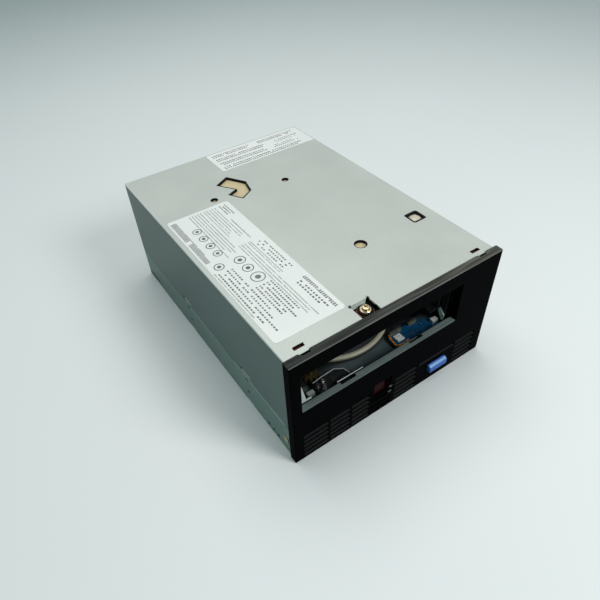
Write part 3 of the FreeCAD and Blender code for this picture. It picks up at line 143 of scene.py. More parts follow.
class Finish(Net):
    # a material: fixed values straight on the shader, patterns through nodes
    def __init__(self, name, **fixed):
        material = finishes[name] = bpy.data.materials.new(name)
        material.use_nodes = True
        super().__init__(material.node_tree)
        self.tree.nodes.clear()
        self.shader = self.tree.nodes.new("ShaderNodeBsdfPrincipled")
        output = self.tree.nodes.new("ShaderNodeOutputMaterial")
        self.tree.links.new(self.shader.outputs[0], output.inputs[0])
        for words, setting in fixed.items():
            self.shader.inputs[words.replace("_", " ")].default_value = setting
        self.axes = {}

    def coordinates(self, scale, middle=(0, 0, 0)):
        where = self.node("ShaderNodeTexCoord", {}, {}, "Object")
        shift = [-m * s for m, s in zip(middle, scale)]
        return self.node("ShaderNodeMapping", {}, {"Vector": where, "Scale": scale, "Location": shift})

    def noise(self, size, detail=3.0, stretch=(1, 1, 1)):
        # size is the width of one patch in metres
        where = self.coordinates([s / size for s in stretch])
        return self.node("ShaderNodeTexNoise", {}, {"Vector": where, "Scale": 1.0, "Detail": detail})

    def cells(self, size, out="Distance"):
        sockets = {"Vector": self.coordinates((1 / size,) * 3), "Scale": 1.0}
        return self.node("ShaderNodeTexVoronoi", {}, sockets, out)

    def waves(self, pitch, direction):
        scale = 1 / (pitch * math.pi * 3.18)  # one band of Blender's wave is this wide
        settings = {"wave_type": "BANDS", "bands_direction": direction}
        sockets = {"Vector": self.coordinates((scale,) * 3), "Scale": math.pi * 0.5}
        return self.node("ShaderNodeTexWave", settings, sockets, "Fac")

    def rings(self, middle, pitch, distortion):
        # turning marks about an upright axis through middle
        bands = 20.0
        settings = {"wave_type": "RINGS", "rings_direction": "Z"}
        where = self.coordinates((1 / (pitch * bands),) * 3, middle)
        sockets = {"Vector": where, "Scale": bands, "Distortion": distortion, "Detail": 1.0}
        return self.node("ShaderNodeTexWave", settings, sockets, "Fac")

    def axis(self, letter):
        if letter not in self.axes:
            self.axes[letter] = self.part(self.node("ShaderNodeTexCoord", {}, {}, "Object"), letter)
        return self.axes[letter]

    def fade(self, letter, low, high):
        # 0 to 1 along an axis, in millimetres; Y counts back from the case's front edge
        return self.axis(letter).spread(*(behind(v) if letter == "Y" else v * mm for v in (low, high)))

    def patches(self, *blocks):
        # 1 inside blocks, each three spans as in fade; None leaves an end open
        masks = []
        for block in blocks:
            sides = []
            for letter, ends in zip("XYZ", block):
                low, high = (v if v is None else behind(v) if letter == "Y" else v * mm for v in ends)
                if low is not None:
                    sides.append(self.axis(letter) > low)
                if high is not None:
                    sides.append(self.axis(letter) < high)
            masks.append(math.prod(sides[1:], start=sides[0]))
        return sum(masks[1:], masks[0]).clamped() if len(masks) > 1 else masks[0]

    def blend(self, mask, first, second):
        # a colour is another blend or screen values from 0 to 255
        first, second = (c if isinstance(c, Value) else shade(*c) for c in (first, second))
        return self.node("ShaderNodeMix", {"data_type": "RGBA"}, {0: mask, 6: first, 7: second}, 2)

    def feed(self, base, roughness=None, relief=None, depth=0.0, strength=0.6, metallic=None):
        # relief is a bump of that depth in metres
        given = {"Base Color": base, "Roughness": roughness, "Metallic": metallic}
        if relief is not None:
            sockets = {"Height": relief, "Distance": depth, "Strength": strength}
            given["Normal"] = self.node("ShaderNodeBump", {}, sockets)
        for word, link in given.items():
            if link is not None:
                self.tree.links.new(link.socket, self.shader.inputs[word])


# finishes; their marks are blocks for Finish.patches

whole = (None, None)
supplyAxis, takeupAxis = (sum(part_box(name), Vector()) / 2 for name in ("supply_turntable", "takeup_rotor"))
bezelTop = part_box("bezel")[1].z
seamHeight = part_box("bottom_tray")[1].z


def zincSheet(name, top, topPale, side, sidePale, fold):
    # zinc coated sheet, fine grain with faint clouds; the folded sides take darker tones than the lid as
    # painted shade, darker still towards the rear
    crest = fold / mm
    marks = {"foldHighlight": (whole, whole, (crest - 1.15, crest - 0.05)),
             "flapHighlight": ((-25.2, -12.8), (9.0, 11.6), (crest - 6.0, crest - 0.15)),
             "cut": ((-70.0, 70.0), (3.3, 5.3), (crest - 2.0, crest - 0.05))}
    made = Finish(name, Specular_IOR_Level=0.3)
    clouds = made.noise(0.04)
    specks = made.noise(0.00045, 2.0)
    rolled = made.noise(0.0007, 2.0, (1.0, 0.06, 1.0))
    rubs = made.noise(0.05, 5.0, (1.0, 0.25, 1.0)).spread(0.66, 0.74)
    tone = (clouds * 0.45 + specks * 0.35 + rolled * 0.2).clamped().spread(0.25, 0.75)
    lid = made.fade("Z", crest - 1.3, crest - 0.7)
    # painted shade: the sides darken towards the rear
    rearShade = made.fade("Y", 40, 125) * 0.3
    base = made.blend(rearShade, made.blend(tone, side, sidePale), (52, 78, 72))
    base = made.blend(lid, base, made.blend(tone, top, topPale))
    # painted highlight along the fold just below the lid's edge
    base = made.blend(made.patches(marks["foldHighlight"]) * 0.7, base, (236, 242, 239))
    # painted highlight: the folded tab at the back of the screw notch made paler
    base = made.blend(made.patches(marks["flapHighlight"]), base, (214, 226, 224))
    # painted shade: the cut walls between 3.3 and 5.3 mm behind the front edge made near black
    base = made.blend(made.patches(marks["cut"]), base, (10, 10, 11))
    roughness = tone * 0.1 + 0.37 + rubs * 0.08
    made.feed(base, roughness, rolled * 0.6 + specks * 0.4, 0.00002, 0.5, lid * 0.22)


def frameSheet():
    # the inner front frame: brushed along its width, with a painted highlight on the web and its tabs at the
    # left, painted shadow below the sill and painted shade on its right end
    marks = {"bare": (((None, -20.0), (-0.3, 1.3), (40.95, 57.0)),),
             "shadow": ((whole, (None, 0.1), (38.0, 43.5)), (whole, (0.45, 1.3), (40.95, 45.0))),
             "end": (((43.4, None), whole, (45.2, None)),)}
    made = Finish("frameZinc", Specular_IOR_Level=0.3)
    hairs = made.noise(0.0005, 3.0, (0.02, 1.0, 1.0))
    tone = (hairs * 0.7 + made.noise(0.02) * 0.3).spread(0.3, 0.7)
    base = made.blend(tone, (96, 106, 106), (120, 130, 129))
    # painted highlight on the web and its tabs at the left
    base = made.blend(made.patches(*marks["bare"]), base, (218, 228, 224))
    base = made.blend(made.patches(*marks["shadow"]), base, (14, 16, 17))
    # painted shade: the frame's right end above the sill made near black
    base = made.blend(made.patches(*marks["end"]), base, (12, 13, 14))
    made.feed(base, hairs * 0.2 + 0.34, hairs, 0.00001)


def loaderSheet():
    # the loader's trough: bare floor with painted shade darkening it further in, and walls painted near
    # black as shade
    made = Finish("trayFloor", Specular_IOR_Level=0.25)
    hairs = made.noise(0.0004, 3.0, (0.03, 1.0, 1.0))
    clouds = made.noise(0.02)
    tone = (hairs * 0.6 + clouds * 0.4).spread(0.3, 0.75)
    # painted shade: the floor darkens further into the slot
    base = made.blend(made.fade("Y", 13, 19), made.blend(tone, (60, 72, 74), (84, 95, 97)), (22, 28, 30))
    # painted shade: the walls above the floor made near black
    base = made.blend(made.fade("Z", 36.6, 37.4), base, made.blend(tone, (9, 10, 11), (17, 18, 19)))
    made.feed(base, hairs * 0.2 + clouds * 0.1 + 0.34, hairs, 0.00001)


def mouldedPlastic(name, colour, pale, roughness, coat=0.0, grain=0.0004):
    # spark eroded mould texture with faint flow clouds
    made = Finish(name, Coat_Weight=coat, Coat_Roughness=0.25)
    texture = made.noise(grain)
    pits = made.cells(grain * 1.6)
    base = made.blend((texture * 0.5 + made.noise(0.03) * 0.5).spread(0.3, 0.8), colour, pale)
    made.feed(base, texture * 0.16 + (roughness - 0.08), texture * 0.5 + pits * 0.5, 0.00003)


# the louvres' lips, which get painted highlights: height of the lowest, pitch, highest, half width as a
# share of the pitch, and x spans
louvreSizes = {"foot": 3.2, "pitch": 4.2, "top": 21.0, "lip": 0.035,
               "upper": (18.0, 48.2), "upperFoot": 19.0,
               "spans": ((-68.0, -50.7), (-49.7, -35.2), (-34.2, -21.0), (-1.2, 16.6), (49.2, 66.4))}


def bezelPlastic():
    # moulded black with a little dust, brushed lengthwise on its upper edge, which is painted lighter
    # towards the right as painted light; painted highlights on the front edge and the louvres' lips, painted
    # shade in the two top pockets
    crest, lips = bezelTop / mm, louvreSizes
    marks = {"arrisHighlight": (whole, (None, -4.9), (crest - 0.4, crest - 0.04)),
             "pocketShade": [(x, (-2.1, None), whole) for x in ((-63.8, -58.9), (58.9, 63.8))],
             "louvres": [(x, (None, -3.5), (None, lips["top"])) for x in lips["spans"]]}
    marks["louvres"].append((lips["upper"], (None, -3.5), (lips["upperFoot"], lips["top"])))
    made = Finish("bezelPlastic", Specular_IOR_Level=0.005)
    lines = made.noise(0.0007, 2.0, (0.02, 1.0, 1.0))
    texture = made.noise(0.0005)
    dust = made.noise(0.0011).spread(0.70, 0.78) * 0.12
    # painted light: the brushed top grows lighter towards the right
    right = made.fade("X", -70, 60)
    base = made.blend((texture * 0.5 + made.noise(0.04, 2.0) * 0.5).spread(0.3, 0.8), (4, 4, 5), (8, 9, 10))
    brushed = made.blend(lines.spread(0.42, 0.62), made.blend(right, (42, 44, 43), (66, 65, 61)),
                         made.blend(right, (66, 68, 66), (98, 97, 92)))
    base = made.blend(made.fade("Z", crest - 0.5, crest - 0.1), base, brushed)
    # painted highlight along the top front edge
    base = made.blend(made.patches(marks["arrisHighlight"]) * 0.6, base, (128, 127, 124))
    base = made.blend(dust, base, (96, 96, 94))
    # painted shade: the two pockets on top made near black
    base = made.blend(made.patches(*marks["pocketShade"]), base, (5, 5, 6))
    rows = (made.axis("Z") - lips["foot"] * mm) / (lips["pitch"] * mm)
    lip = (rows - rows.rounded()).absolute() < lips["lip"]
    # painted highlight along the lower lip of each louvre
    base = made.blend(lip * made.patches(*marks["louvres"]), base, (46, 48, 48))
    made.feed(base, texture * 0.14 + 0.46, texture * 0.5 + lines * 0.5, 0.00003)


def rolledSteel(name, colour, pale, roughness, metallic=0.9):
    # plain strip steel with hair lines one way
    made = Finish(name, Metallic=metallic)
    hairs = made.noise(0.0004, 3.0, (0.03, 1.0, 1.0))
    clouds = made.noise(0.02)
    base = made.blend((hairs * 0.6 + clouds * 0.4).spread(0.3, 0.75), colour, pale)
    made.feed(base, hairs * 0.2 + clouds * 0.1 + (roughness - 0.12), hairs, 0.00001)


def castAlloy():
    made = Finish("castAlloy", Metallic=0.8)
    skin = made.noise(0.0009, 4.0)
    tone = (skin * 0.5 + made.noise(0.02) * 0.5).spread(0.3, 0.7)
    base = made.blend(tone, (120, 124, 126), (168, 171, 172))
    made.feed(base, skin * 0.25 + 0.38, skin * 0.6 + made.cells(0.0016) * 0.4, 0.00008, 0.7)


def turnedMetal(name, colour, pale, middle):
    # concentric tool marks about an upright axis
    made = Finish(name, Metallic=0.85)
    marks = made.rings(middle, 0.00035, 0.6)
    clouds = made.noise(0.015)
    base = made.blend((marks * 0.4 + clouds * 0.6).spread(0.25, 0.75), colour, pale)
    made.feed(base, marks * 0.14 + clouds * 0.1 + 0.18, marks, 0.00001, 0.5)


def plated(name, colour, pale, roughness, metallic=0.95):
    # passivated or nickel plated small hardware
    made = Finish(name, Metallic=metallic)
    clouds = made.noise(0.0016)
    specks = made.noise(0.0003, 2.0)
    base = made.blend((clouds * 0.7 + specks * 0.3).spread(0.3, 0.7), colour, pale)
    made.feed(base, clouds * 0.2 + (roughness - 0.1), specks, 0.00001, 0.5)


def circuitBoard(name, mask, trace):
    # solder mask over copper: traces run in the two board directions, vias between
    made = Finish(name, Coat_Weight=0.5, Coat_Roughness=0.2)
    lane = made.node("ShaderNodeRGBToBW", {}, {0: made.cells(0.0052, "Color")})
    across = made.noise(0.0006, 1.0, (0.05, 1.0, 0.05)).spread(0.47, 0.53)
    up = made.noise(0.0006, 1.0, (1.0, 0.05, 0.05)).spread(0.47, 0.53)
    pick = lane > 0.5
    traces = (across * pick + up * (1 - pick)) * 0.8
    vias = 1 - made.cells(0.0021).spread(0.10, 0.14)
    base = made.blend(vias * 0.7, made.blend(traces, mask, trace), (170, 160, 120))
    made.feed(base, made.noise(0.004, 2.0) * 0.15 + 0.28, traces, 0.00003, 0.5)


def partsPlastic():
    # white, tan and greyed housings on the loader's board, told apart by where they stand; the horn is
    # painted paler as light
    marks = {"socket": ((5.0, 16.0), (None, 11.0), whole), "tan": ((0.0, None), (11.5, None), whole),
             "greyed": ((None, -30.0), whole, whole), "horn": ((41.3, None), whole, whole)}
    made = Finish("whitePlastic", Specular_IOR_Level=0.3)
    texture = made.noise(0.0006)
    speck = made.noise(0.0012, 2.0).spread(0.55, 0.62) * 0.5
    base = made.blend(texture.spread(0.3, 0.7), (196, 200, 194), (226, 228, 222))
    base = made.blend(speck * made.patches(marks["socket"]), base, (120, 126, 124))
    base = made.blend(made.patches(marks["tan"]), base, made.blend(texture, (62, 66, 56), (92, 94, 80)))
    greyed = made.blend(texture, (140, 150, 144), (168, 176, 170))
    base = made.blend(made.patches(marks["greyed"]), base, greyed)
    # painted light: the horn made paler than the other housings
    base = made.blend(made.patches(marks["horn"]), base, (238, 250, 242))
    made.feed(base, texture * 0.15 + 0.34, texture, 0.00003, 0.5)


def rimFinish():
    # cream ring with painted shade darkening its lower flank
    made = Finish("rimPlastic", Specular_IOR_Level=0.35)
    clouds = made.noise(0.006)
    turns = made.rings(supplyAxis, 0.0004, 0.4)
    base = made.blend((clouds * 0.6 + turns * 0.4).spread(0.3, 0.7), (160, 156, 138), (186, 182, 162))
    # painted shade: the ring darkens below its upper flank
    base = made.blend(1 - made.fade("Z", 38.0, 38.8), base, made.blend(clouds, (30, 34, 34), (52, 55, 52)))
    made.feed(base, clouds * 0.15 + 0.34, turns, 0.00001, 0.5)


def labelPaper():
    made = Finish("labelPaper", Coat_Weight=0.15, Coat_Roughness=0.3)
    fibre = made.noise(0.0005)
    tone = (fibre * 0.5 + made.noise(0.05, 2.0) * 0.5).spread(0.3, 0.7)
    base = made.blend(tone, (222, 223, 221), (234, 234, 232))
    made.feed(base, fibre * 0.1 + 0.4, fibre, 0.00001, 0.4)


def printInk():
    made = Finish("printInk")
    faded = made.noise(0.003)
    base = made.blend(faded.spread(0.3, 0.8), (80, 83, 83), (122, 125, 124))
    made.feed(base, faded * 0.1 + 0.45)


def insulatorFilm():
    made = Finish("insulatorFilm", Coat_Weight=0.2, Coat_Roughness=0.3)
    fibre = made.noise(0.0007, 4.0)
    tone = (fibre * 0.4 + made.noise(0.012) * 0.6).spread(0.3, 0.7)
    base = made.blend(tone, (184, 166, 130), (212, 194, 156))
    made.feed(base, fibre * 0.15 + 0.42, fibre, 0.00002, 0.5)


def flexFilm():
    # amber film over fine copper lines, with bare pads here and there
    made = Finish("flexFilm", Coat_Weight=0.3, Coat_Roughness=0.2)
    lines = made.waves(0.0006, "DIAGONAL")
    pads = 1 - made.cells(0.0011).spread(0.25, 0.35)
    clouds = made.noise(0.002)
    base = made.blend((lines * 0.6 + clouds * 0.4).spread(0.3, 0.7), (120, 64, 18), (206, 128, 48))
    base = made.blend(pads * 0.6, base, (232, 196, 120))
    made.feed(base, clouds * 0.2 + 0.3, lines, 0.00003, 0.5)


def smokedWindow():
    made = Finish("smokedWindow", Specular_IOR_Level=0.02)
    segments = made.waves(0.0011, "X") * made.waves(0.0011, "Z")
    clouds = made.noise(0.004, 2.0)
    base = made.blend((segments * 0.5 + clouds * 0.5).spread(0.3, 0.8), (36, 5, 8), (68, 15, 20))
    made.feed(base, clouds * 0.1 + 0.14)


def softRubber():
    made = Finish("softRubber", Specular_IOR_Level=0.1)
    bloom = made.noise(0.002, 4.0)
    base = made.blend(bloom.spread(0.4, 0.8), (16, 16, 17), (34, 33, 32))
    made.feed(base, bloom * 0.2 + 0.6, bloom, 0.00004, 0.5)


# dark and pale tone, then what else a finish is told, in the order that its function takes
finishSettings = {
    zincSheet: {
        # the side tones are painted shade, darker and tealer than the lid's
        "coverZinc": ((180, 185, 179), (192, 196, 190), (100, 126, 121), (109, 136, 131), caseTop),
        "trayZinc": ((150, 162, 158), (168, 178, 174), (135, 164, 155), (146, 174, 166), seamHeight)},
    mouldedPlastic: {
        "buttonBlue": ((54, 102, 186), (72, 122, 204), 0.45),
        "buttonPale": ((146, 206, 252), (168, 216, 254), 0.35),
        "greyPlastic": ((58, 62, 64), (84, 88, 90), 0.45),
        "sensorBlack": ((26, 30, 32), (42, 47, 50), 0.3, 0.3),
        "darkPlastic": ((20, 20, 21), (36, 36, 37), 0.5),
        "creamPlastic": ((196, 190, 168), (222, 216, 196), 0.42),
        "clearPlastic": ((186, 196, 190), (220, 226, 222), 0.2, 0.6),
        "chipBlack": ((24, 24, 26), (40, 40, 42), 0.55, 0.0, 0.0003),
        "domePlastic": ((188, 178, 158), (206, 196, 178), 0.25, 0.5),
        "lensGrey": ((50, 54, 53), (70, 75, 73), 0.3),
        "ferriteBlack": ((30, 30, 33), (52, 52, 56), 0.22, 0.4),
        "sleeveBlue": ((22, 30, 64), (36, 46, 88), 0.35, 0.3)},
    rolledSteel: {
        "stripSteel": ((128, 136, 140), (170, 177, 180), 0.32),
        "blackSteel": ((7, 8, 8), (15, 16, 16), 0.5, 0.0),
        "laminated": ((70, 72, 76), (108, 110, 114), 0.32, 0.7)},
    plated: {
        "brightSteel": ((168, 170, 170), (212, 214, 214), 0.25),
        "mirrorSteel": ((196, 202, 202), (232, 234, 232), 0.15),
        "yellowZinc": ((170, 154, 118), (218, 206, 176), 0.26),
        "brass": ((60, 52, 32), (116, 104, 72), 0.3, 0.7),
        "copper": ((150, 84, 56), (188, 116, 84), 0.36, 0.4),
        # a pale finish for strips that are painted highlights on edges, seams and rims
        "brightEdge": ((196, 206, 203), (224, 231, 229), 0.3, 0.3)},
    turnedMetal: {
        "supplyMetal": ((112, 118, 122), (150, 156, 160), supplyAxis),
        "takeupMetal": ((150, 154, 158), (186, 190, 192), takeupAxis)},
    circuitBoard: {
        "boardGreen": ((12, 66, 42), (32, 104, 66)),
        "boardBlue": ((2, 66, 102), (6, 78, 118))},
}
singleFinishes = (frameSheet, loaderSheet, bezelPlastic, castAlloy, partsPlastic, rimFinish,
                  labelPaper, printInk, insulatorFilm, flexFilm, smokedWindow, softRubber)
for make, settings in finishSettings.items():
    for name, setting in settings.items():
        make(name, *setting)
for make in singleFinishes:
    make()
print("finishes made:", len(finishes))

nodeFinishes = {
    "coverZinc": ["top_cover"],
    "trayZinc": ["bottom_tray", "rear_panel"],
    "frameZinc": ["front_frame"],
    "bezelPlastic": ["bezel"],
    "buttonBlue": ["eject_button"],
    "smokedWindow": ["display_window"],
    "darkPlastic": ["display_module", "data_connector", "service_connector"],
    "clearPlastic": ["light_pipes"],
    "boardGreen": ["front_board", "main_board"],
    "boardBlue": ["loader_board"],
    "chipBlack": ["front_board_parts", "board_chips"],
    "sleeveBlue": ["board_capacitors"],
    "rimPlastic": ["turntable_rim"],
    "creamPlastic": ["power_connector", "loader_gear"],
    "whitePlastic": ["loader_board_parts"],
    "sensorBlack": ["sensor_cover"],
    "greyPlastic": ["supply_clutch", "takeup_reel", "takeup_flange"],
    "trayFloor": ["loader_frame"],
    "stripSteel": ["cam_yoke", "threader_arm", "head_bridge"],
    "blackSteel": ["cartridge_carrier"],
    "brightSteel": ["board_spacers", "connector_contacts", "guide_pins", "head_rods", "head_screw",
                  "head_stepper", "loader_fasteners", "loader_motor", "mount_posts", "reel_bearings",
                  "shoulder_screws", "threader_motor"],
    "yellowZinc": ["case_screws", "cover_screw"],
    "brass": ["loader_pinion"],
    "castAlloy": ["deck", "head_base", "head_carriage", "motor_bases"],
    "supplyMetal": ["supply_turntable"],
    "takeupMetal": ["takeup_rotor", "guide_roller_1", "guide_roller_2", "guide_roller_3", "guide_roller_4"],
    "laminated": ["motor_stators"],
    "ferriteBlack": ["tape_head"],
    "softRubber": ["deck_grommets", "screw_boss"],
    "insulatorFilm": ["insulator_sheet"],
}


def dressNodes():
    dressed = set()
    for material, names in nodeFinishes.items():
        for name in names:
            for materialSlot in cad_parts[name].material_slots:
                materialSlot.material = finishes[material]
            dressed.add(name)
    bare = set(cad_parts) - dressed
    print("nodes dressed:", len(dressed), "bare:", sorted(bare))


dressNodes()


# mesh helpers

def addObject(name, data):
    made = bpy.data.objects.new(name, data)
    bpy.context.scene.collection.objects.link(made)
    return made


def finishPiece(name, bm, material, smooth=0.0, body="chassis"):
    bmesh.ops.recalc_face_normals(bm, faces=bm.faces)
    mesh = bpy.data.meshes.new(name)
    bm.to_mesh(mesh)
    bm.free()
    mesh.materials.append(finishes[material])
    if smooth:
        for polygon in mesh.polygons:
            polygon.use_smooth = True
        mesh.set_sharp_from_angle(angle=math.radians(smooth))
    piece = addObject(name, mesh)
    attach(piece, body)
    return piece


def wall(bm, first, second):
    # faces between two closed loops with as many points each
    count = len(first)
    for i in range(count):
        j = (i + 1) % count
        bm.faces.new((first[i], first[j], second[j], second[i]))


def prism(bm, points, low, high):
    # an upright wall of points closed by a floor and a lid
    bottom, top = ([bm.verts.new((x, y, height)) for x, y in points] for height in (low, high))
    bm.faces.new(reversed(bottom))
    bm.faces.new(top)
    wall(bm, bottom, top)


def band(bm, outer, inner, low, high):
    # a wall between two outlines with as many points each
    outlines = ((outer, low), (outer, high), (inner, high), (inner, low))
    loops = [[bm.verts.new((x, y, height)) for x, y in outline] for outline, height in outlines]
    for first, second in zip(loops, loops[1:] + loops[:1]):
        wall(bm, first, second)


def slab(bm, outline, across):
    # an outline of depths and heights drawn from one x to another, all in millimetres
    ends = [[bm.verts.new((x * mm, behind(away), height * mm)) for away, height in outline] for x in across]
    bm.faces.new(ends[0])
    bm.faces.new(ends[1])
    wall(bm, *ends)


def plate(bm, across, away, height):
    # a block in millimetres, its depth behind the case's front edge
    x0, x1, y0, y1 = across[0] * mm, across[1] * mm, behind(away[0]), behind(away[1])
    prism(bm, ((x0, y0), (x1, y0), (x1, y1), (x0, y1)), height[0] * mm, height[1] * mm)


def pair(bm, across, away, height):
    # one such block on each side of the middle
    plate(bm, across, away, height)
    plate(bm, (-across[1], -across[0]), away, height)


def roundedPlan(x0, x1, y0, y1, radius, steps=6):
    points = []
    corners = ((x1 - radius, y0 + radius, -90), (x1 - radius, y1 - radius, 0),
               (x0 + radius, y1 - radius, 90), (x0 + radius, y0 + radius, 180))
    for x, y, first in corners:
        for step in range(steps + 1):
            turn = math.radians(first + 90 * step / steps)
            points.append((x + radius * math.cos(turn), y + radius * math.sin(turn)))
    return points


def inset(points, gap):
    # the same closed outline moved inwards, corner by corner; points run anticlockwise
    moved = []
    count = len(points)
    for i in range(count):
        before, here, after = (Vector(points[(i + k) % count]) for k in (-1, 0, 1))
        first, second = (here - before).normalized(), (after - here).normalized()
        firstIn, secondIn = Vector((-first.y, first.x)), Vector((-second.y, second.x))
        middle = firstIn + secondIn
        moved.append(tuple(here + middle * (gap / max(0.2, 1 + firstIn.dot(secondIn)))))
    return moved


def ring(middle, radius, steps=40, shape=None):
    points = []
    for step in range(steps):
        turn = 2 * math.pi * step / steps
        reach = radius * (shape(turn) if shape else 1.0)
        points.append((middle[0] + reach * math.cos(turn), middle[1] + reach * math.sin(turn)))
    return points


def turned(bm, place, profile, steps=40):
    # stacked rings round an upright axis, in millimetres: radius, height and perhaps the ring's shape
    x, away, foot = place
    middle = (x * mm, behind(away))
    loops = []
    for radius, height, *shape in profile:
        outline = ring(middle, radius * mm, steps, *shape)
        loops.append([bm.verts.new((px, py, (foot + height) * mm)) for px, py in outline])
    for first, second in zip(loops, loops[1:]):
        wall(bm, first, second)
    bm.faces.new(reversed(loops[0]))
    bm.faces.new(loops[-1])


def cross(turn, width=0.30):
    # the outline of a cross shaped driver recess with arms one long
    big, small = sorted((abs(math.cos(turn)), abs(math.sin(turn))), reverse=True)
    return max(min(1 / big, width / max(small, 0.001)), min(width / big, 1 / max(small, 0.001)))


def square(turn):
    return 1 / max(abs(math.cos(turn)), abs(math.sin(turn)))


def lobes(turn, count=6, depth=0.13):
    return 1 + depth * math.cos(count * turn)


def ribbon(bm, path, width, low, high):
    # a flat strip that follows a path, in millimetres
    sides = ([], [])
    for i, (x, away) in enumerate(path):
        here = Vector((x, away))
        before = Vector(path[max(0, i - 1)])
        after = Vector(path[min(len(path) - 1, i + 1)])
        run = (after - before).normalized()
        across = Vector((-run.y, run.x)) * width / 2
        for side, points in zip((1, -1), sides):
            place = here + across * side
            points.append((place.x * mm, behind(place.y)))
    prism(bm, sides[1] + list(reversed(sides[0])), low * mm, high * mm)


def addMesh(bm, mesh):
    bm.from_mesh(mesh)
    bpy.data.meshes.remove(mesh)


# repeats: node trees that lay small blocks in rows and columns

class Repeat(Net):
    def __init__(self, name, inputs):
        super().__init__(bpy.data.node_groups.new(name, "GeometryNodeTree"))
        face = self.tree.interface
        face.new_socket("Geometry", in_out="INPUT", socket_type="NodeSocketGeometry")
        self.identifiers = {}
        for word, kind in inputs.items():
            made = face.new_socket(word, in_out="INPUT", socket_type="NodeSocket" + kind)
            self.identifiers[word] = made.identifier
        face.new_socket("Geometry", in_out="OUTPUT", socket_type="NodeSocketGeometry")
        self.group = self.tree.nodes.new("NodeGroupInput")

    def given(self, word):
        return Value(self, self.group.outputs[word])

    def grid(self, wide, long, across, along):
        sockets = {"Size X": wide, "Size Y": long, "Vertices X": across, "Vertices Y": along}
        return self.node("GeometryNodeMeshGrid", {}, sockets)

    def random(self, seed, low=0.0, **more):
        sockets = {"Seed": seed, 2: low, 3: 1.0, **more}
        return self.node("FunctionNodeRandomValue", {"data_type": "FLOAT"}, sockets, 1)

    def lay(self, points, material, **more):
        # a block on each point, all moved to their place
        block = self.node("GeometryNodeMeshCube", {}, {"Size": self.given("Size")})
        laid = self.node("GeometryNodeInstanceOnPoints", {}, {"Points": points, "Instance": block, **more})
        sockets = {"Geometry": laid, "Translation": self.given("Place")}
        moved = self.node("GeometryNodeTransform", {}, sockets)
        real = self.node("GeometryNodeRealizeInstances", {}, {0: moved})
        sockets = {"Geometry": real, "Material": finishes[material]}
        last = self.node("GeometryNodeSetMaterial", {}, sockets)
        self.node("NodeGroupOutput", {}, {0: last})

    def mesh(self, **settings):
        # runs the tree once and keeps its result as a plain mesh
        old = bpy.data.meshes.new("repeat")
        holder = addObject("repeat", old)
        modifier = holder.modifiers.new("repeat", "NODES")
        modifier.node_group = self.tree
        for word, setting in settings.items():
            modifier[self.identifiers[word]] = setting
        graph = bpy.context.evaluated_depsgraph_get()
        made = bpy.data.meshes.new_from_object(holder.evaluated_get(graph))
        bpy.data.objects.remove(holder)
        bpy.data.meshes.remove(old)
        return made


def dashTree(name, material):
    # rows of dashes with ragged ends, each row beginning at the same edge
    words = {"Place": "Vector", "Rows": "Int", "Cells": "Int", "RowPitch": "Float", "CellPitch": "Float",
             "Size": "Vector", "Fill": "Float", "Ragged": "Float", "Seed": "Int"}
    net = Repeat(name, words)
    seed = net.given("Seed")
    wide = (net.given("Rows") - 1) * net.given("RowPitch")
    long = (net.given("Cells") - 1) * net.given("CellPitch")
    where = net.node("GeometryNodeInputPosition", {}, {})
    row = ((net.part(where, "X") + wide * 0.5) / net.given("RowPitch")).rounded()
    share = (net.part(where, "Y") + long * 0.5) / long
    started = share > net.random(seed, ID=row) * net.given("Ragged")
    shown = (net.random(seed + 7) < net.given("Fill")) * started
    scale = net.node("ShaderNodeCombineXYZ", {}, {0: 1.0, 1: net.random(seed + 3, 0.55), 2: 1.0})
    grid = net.grid(wide, long, net.given("Rows"), net.given("Cells"))
    net.lay(grid, material, Selection=shown, Scale=scale)
    return net


def blockTree(name, material):
    # equal blocks on a regular grid
    words = {"Place": "Vector", "Columns": "Int", "Rows": "Int", "Pitch": "Vector", "Size": "Vector"}
    net = Repeat(name, words)
    pitch, columns, rows = net.given("Pitch"), net.given("Columns"), net.given("Rows")
    wide, long = (columns - 1) * net.part(pitch, "X"), (rows - 1) * net.part(pitch, "Y")
    net.lay(net.grid(wide, long, columns, rows), material)
    return net


# labels on the cover: blank stock ruled with plain dashes

